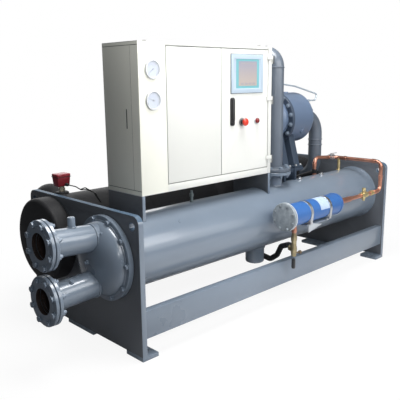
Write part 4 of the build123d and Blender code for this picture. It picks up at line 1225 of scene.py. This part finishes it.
class CHILLER_OT_liquid_line(ChillerPiece):
    """Copper line, brass valves, lever valve and insulated tube"""

    bl_idname = "chiller.liquid_line"
    bl_label = "Liquid line"

    def execute(self, context):
        y, z = DRIER
        turn, back, drop = 2224.0, 360.0, 1958.0
        angle = 1180.0
        feed_end = ((drop, back, 694), (drop, 700, 560))
        parts = [piped(spots((1641, y, z), (turn, y, z), (turn, y, 780), (turn, back, 780), (drop, back, 802),
                             *feed_end), 14.0, [42, 42, 42, 42, 24], 28),
                 turned([(0, 0), (0, 26), (14, 26), (34, 20), (170, 19), (186, 15.5), (186, 0)],
                        spot(1641, y, z), X, 40),
                 bar(spot(angle, y, 445), Z, 58, 14.0, 32), disc(17, 24, spot(angle, y, 452), Z, 32, 2.0),
                 turned([(0, 0), (0, 17), (14, 17), (16, 11), (16, 0)], spot(drop, back, 668), Z, 32)]
        for place, way in (((2132, y, z), X), ((turn, y, 655), Z), ((turn, y, 722), Z), ((turn, 10, 780), Y),
                           ((turn, 250, 780), Y), ((drop, back, 735), Z)):
            parts.append(disc(16.2, 26, spot(*place), way, 32))
        finish_piece(parts, "copper_line", "drawn_copper", node="liquid_line")
        stop = 1996.0
        bonnet = [(0, 0), (0, 14), (18, 14), (22, 11), (34, 11), (34, 0)]
        base = [(0, 0), (0, 13), (12, 13), (16, 9), (24, 9), (24, 0)]
        stem = [(0, 0), (0, 16), (6, 20), (12, 20), (14, 11), (90, 11), (94, 14), (104, 14), (104, 0)]
        bright = [soften(block(stop - 19, y - 19, z - 17, stop + 19, y + 19, z + 20), 5.0, 3),
                  turned(bonnet, spot(stop, y, z + 18), Z, 32), turned(base, spot(stop, y, z - 16), -Z, 32),
                  hexagon(spot(stop, y, z + 36), Z, 26, 14), turned(stem, spot(turn, back - 42, 674), Z, 32)]
        for x, across, length in ((stop - 38, 40, 20), (stop + 18, 40, 20), (2082, 36, 14), (2104, 36, 14)):
            bright.append(hexagon(spot(x, y, z), X, across, length))
        column = [(0, 0), (0, 15), (20, 17.5), (30, 19), (60, 19), (66, 16), (100, 16), (106, 19), (128, 19),
                  (138, 15), (150, 14), (150, 0)]
        # The angle valve's body, nuts and spindle take the darker brass.
        dulled = [turned(column, spot(angle, y, 298), Z, 40),
                  hexagon(spot(angle, y, 398), Z, 36, 18), hexagon(spot(angle, y, 330), Z, 38, 16),
                  bar(spot(angle, y, 352), Y, 34, 13, 24), hexagon(spot(angle, y + 20, 345), Y, 34, 14)]
        grey = [(0, 0), (0, 12), (10, 12), (10, 9), (34, 9), (34, 13), (50, 13), (54, 8), (68, 8), (68, 0)]
        parts = [painted(part, "machined_brass") for part in bright]
        parts += [painted(part, "dulled_brass") for part in dulled]
        parts.append(painted(turned(grey, spot(602, 271, 690), Z, 32), "fitting_grey"))
        finish_piece(parts, "brass_fittings", "machined_brass", node="brass_valves")
        cap = turned([(0, 0), (0, 12), (54, 13), (62, 10), (62, 0)], spot(angle, y, 279), -Z, 28)
        finish_piece(cap, "valve_cap", "moulded_black")
        knob = [(0, 0), (0, 5), (24, 5), (24, 11), (36, 12), (40, 9), (40, 0)]
        knob = turned(knob, spot(angle + 12, y - 6, 318), (1, -0.4, 0), 24)
        finish_piece(knob, "valve_knob", "knob_brown")
        x = 2180.0
        steel = [soften(block(x - 17, back - 17, 768, x + 17, back + 17, 800), 5.0, 3),
                 hexagon(spot(x - 34, back, 786), X, 38, 18), hexagon(spot(x + 16, back, 782), X, 38, 18),
                 bar(spot(x, back, 798), Z, 16, 7, 16),
                 soften(block(x - 4, back - 12, 811, x + 62, back - 1, 814), 1.0)]
        finish_piece(steel, "lever_valve", "zinc_plate", node="line_valve")
        hose = spots((SUMP + 37, 234, 236), (1236, 190, 214), (1256, 150, 246), (1240, 105, 318),
                     (1236, 40, 344), (angle, -21, 345))
        sleeve = spots((drop, back, 716), *feed_end)
        finish_piece([piped(hose, 18.0, [22] * 4, 32), piped(sleeve, 18.5, [24], 32)], "insulated_tube",
                     "foam_skin", node="insulated_line")
        return {"FINISHED"}


class CHILLER_OT_equalizing_tube(ChillerPiece):
    """Thin bright tube over the motor"""

    bl_idname = "chiller.equalizing_tube"
    bl_label = "Equalizing tube"

    def execute(self, context):
        y, z = COMPRESSOR
        near, far = y - 60, y - 95
        parts = [piped(spots((1534, near, z + 125), (1534, near, z + 256), (1800, near, z + 225),
                             (2024, far, z + 165), (2004, far, z + 120), (1912, far, z + 120)), 5.6,
                       [60, 150, 14, 14], 24),
                 hexagon(spot(1534, near, z + 128), Z, 17, 16), hexagon(spot(1914, far, z + 120), X, 17, 16)]
        finish_piece(parts, "equalizing_tube_steel", "tube_steel", node="equalizing_tube")
        return {"FINISHED"}


class CHILLER_OT_stage(ChillerPiece):
    """Camera, floor and studio lights"""

    bl_idname = "chiller.stage"
    bl_label = "Stage"

    def execute(self, context):
        scene = context.scene
        look = scene.chiller_stage
        yaw, pitch, roll = look.yaw, look.pitch, look.roll
        ahead = Vector((math.cos(yaw) * math.cos(pitch), math.sin(yaw) * math.cos(pitch), -math.sin(pitch)))
        right = Vector((math.sin(yaw), -math.cos(yaw), 0))
        down = ahead.cross(right)
        across = right * math.cos(roll) + down * math.sin(roll)
        under = down * math.cos(roll) - right * math.sin(roll)
        lens = bpy.data.cameras.new("photo_camera")
        lens.lens = look.lens
        lens.sensor_width = 36.0
        camera = bpy.data.objects.new("photo_camera", lens)
        scene.collection.objects.link(camera)
        turn = Matrix((across, -under, -ahead)).transposed().to_4x4()
        camera.matrix_world = Matrix.Translation(look.camera_place) @ turn
        scene.camera = camera
        bpy.ops.object.select_all(action="DESELECT")
        bpy.ops.mesh.primitive_plane_add(size=90, location=(0, 0, -0.0006))
        floor = bpy.context.object
        floor.name = "studio_floor"
        floor.data.materials.append(floor_finish())
        # Name, place, aim, width and height in metres, and power.
        lamps = (
            ("key_light", (-0.1, -3.0, 2.3), (-0.1, -0.3, 0.75), 3.6, 1.6, look.key),
            ("side_light", (2.0, -3.6, 1.5), (1.0, -0.3, 0.7), 1.8, 1.6, look.side),
            ("top_light", (-0.5, -0.7, 3.4), (-0.5, -0.3, 0.0), 1.3, 1.6, look.top),
            ("glint_light", (-2.6, -2.85, 1.45), (-1.3, -0.3, 0.55), 0.16, 0.4, look.glint),
            ("rear_light", (1.5, 5.2, 2.6), (0.0, 0.3, 0.7), 4.0, 3.0, look.rear),
        )
        for name, place, aim, wide, tall, power in lamps:
            data = bpy.data.lights.new(name, "AREA")
            data.shape = "RECTANGLE"
            data.size = wide
            data.size_y = tall
            data.energy = power
            lamp = bpy.data.objects.new(name, data)
            scene.collection.objects.link(lamp)
            lamp.location = place
            lamp.rotation_euler = (Vector(aim) - Vector(place)).to_track_quat("-Z", "Y").to_euler()
        world = bpy.data.worlds.new("studio")
        scene.world = world
        world.use_nodes = True
        tree = world.node_tree
        tree.nodes.clear()
        seen = add(tree, "ShaderNodeLightPath").outputs["Is Camera Ray"]
        white = add(tree, "ShaderNodeBackground", {"Color": (1, 1, 1, 1), "Strength": 1.0})
        room = add(tree, "ShaderNodeBackground", {"Color": (0.93, 0.97, 1.0, 1), "Strength": look.surround})
        mix = add(tree, "ShaderNodeMixShader", {0: seen, 1: room.outputs[0], 2: white.outputs[0]})
        add(tree, "ShaderNodeOutputWorld", {0: mix.outputs[0]})
        scene.view_settings.view_transform = "Standard"
        return {"FINISHED"}


def floor_finish():
    """A pale sweep that is duller to bounced light than to the eye."""
    material = bpy.data.materials.new("pale_floor")
    material.use_nodes = True
    tree = material.node_tree
    surface = tree.nodes["Principled BSDF"]
    surface.inputs["Roughness"].default_value = 0.9
    seen = add(tree, "ShaderNodeLightPath").outputs["Is Camera Ray"]
    place = add(tree, "ShaderNodeNewGeometry").outputs["Position"]
    along = add(tree, "ShaderNodeSeparateXYZ", {0: place}).outputs["X"]
    bounce = blended(tree, ranged(tree, along, -1.9, -0.8), (0.10, 0.10, 0.11, 1), (0.72, 0.72, 0.73, 1))
    tree.links.new(blended(tree, seen, bounce, (0.95, 0.95, 0.95, 1)), surface.inputs["Base Color"])
    flat = add(tree, "ShaderNodeVectorMath", {0: place, 1: (0.62, 1.0, 0.0)}, operation="MULTIPLY").outputs[0]
    reach = add(tree, "ShaderNodeVectorMath", {0: flat}, operation="LENGTH").outputs["Value"]
    white = ranged(tree, reach, 0.7, 1.9, 0.90, 1.0, interpolation_type="SMOOTHSTEP")
    glow = add(tree, "ShaderNodeEmission", {"Color": (1, 1, 1, 1), "Strength": 1.0})
    mixed = add(tree, "ShaderNodeMixShader",
                {0: product(tree, white, seen), 1: surface.outputs[0], 2: glow.outputs[0]})
    tree.links.new(mixed.outputs[0], tree.nodes["Material Output"].inputs[0])
    return material


PIECES = (CHILLER_OT_frame, CHILLER_OT_condenser, CHILLER_OT_water_boxes, CHILLER_OT_water_pipes,
          CHILLER_OT_evaporator, CHILLER_OT_flow_switch, CHILLER_OT_cabinet, CHILLER_OT_door,
          CHILLER_OT_gauges, CHILLER_OT_switchgear, CHILLER_OT_compressor, CHILLER_OT_discharge,
          CHILLER_OT_suction, CHILLER_OT_drier, CHILLER_OT_liquid_line, CHILLER_OT_equalizing_tube,
          CHILLER_OT_stage)


class CHILLER_PT_panel(bpy.types.Panel):
    """Lists the chiller's pieces, sizes and colours"""

    bl_idname = "CHILLER_PT_panel"
    bl_label = "Screw chiller"
    bl_space_type = "VIEW_3D"
    bl_region_type = "UI"
    bl_category = "Chiller"

    def draw(self, context):
        for group, kind in PROPERTY_GROUPS:
            box = self.layout.box()
            for name in kind.__annotations__:
                box.prop(getattr(context.scene, group), name)
        for piece in PIECES:
            self.layout.operator(piece.bl_idname)


PROPERTY_GROUPS = (("chiller_sizes", ChillerSizes), ("chiller_colours", ChillerColours),
                   ("chiller_stage", ChillerStage))


def register():
    for name, group in PROPERTY_GROUPS:
        bpy.utils.register_class(group)
        setattr(bpy.types.Scene, name, PointerProperty(type=group))
    for piece in PIECES:
        bpy.utils.register_class(piece)
    bpy.utils.register_class(CHILLER_PT_panel)


def unregister():
    bpy.utils.unregister_class(CHILLER_PT_panel)
    for piece in reversed(PIECES):
        bpy.utils.unregister_class(piece)
    for name, group in reversed(PROPERTY_GROUPS):
        delattr(bpy.types.Scene, name)
        bpy.utils.unregister_class(group)


def main():
    """Build every piece and the stage."""
    register()
    for piece in PIECES:
        group, name = piece.bl_idname.split(".")
        if getattr(getattr(bpy.ops, group), name)() != {"FINISHED"}:
            raise RuntimeError(piece.bl_label + " did not finish")


if __name__ == "__main__":
    main()
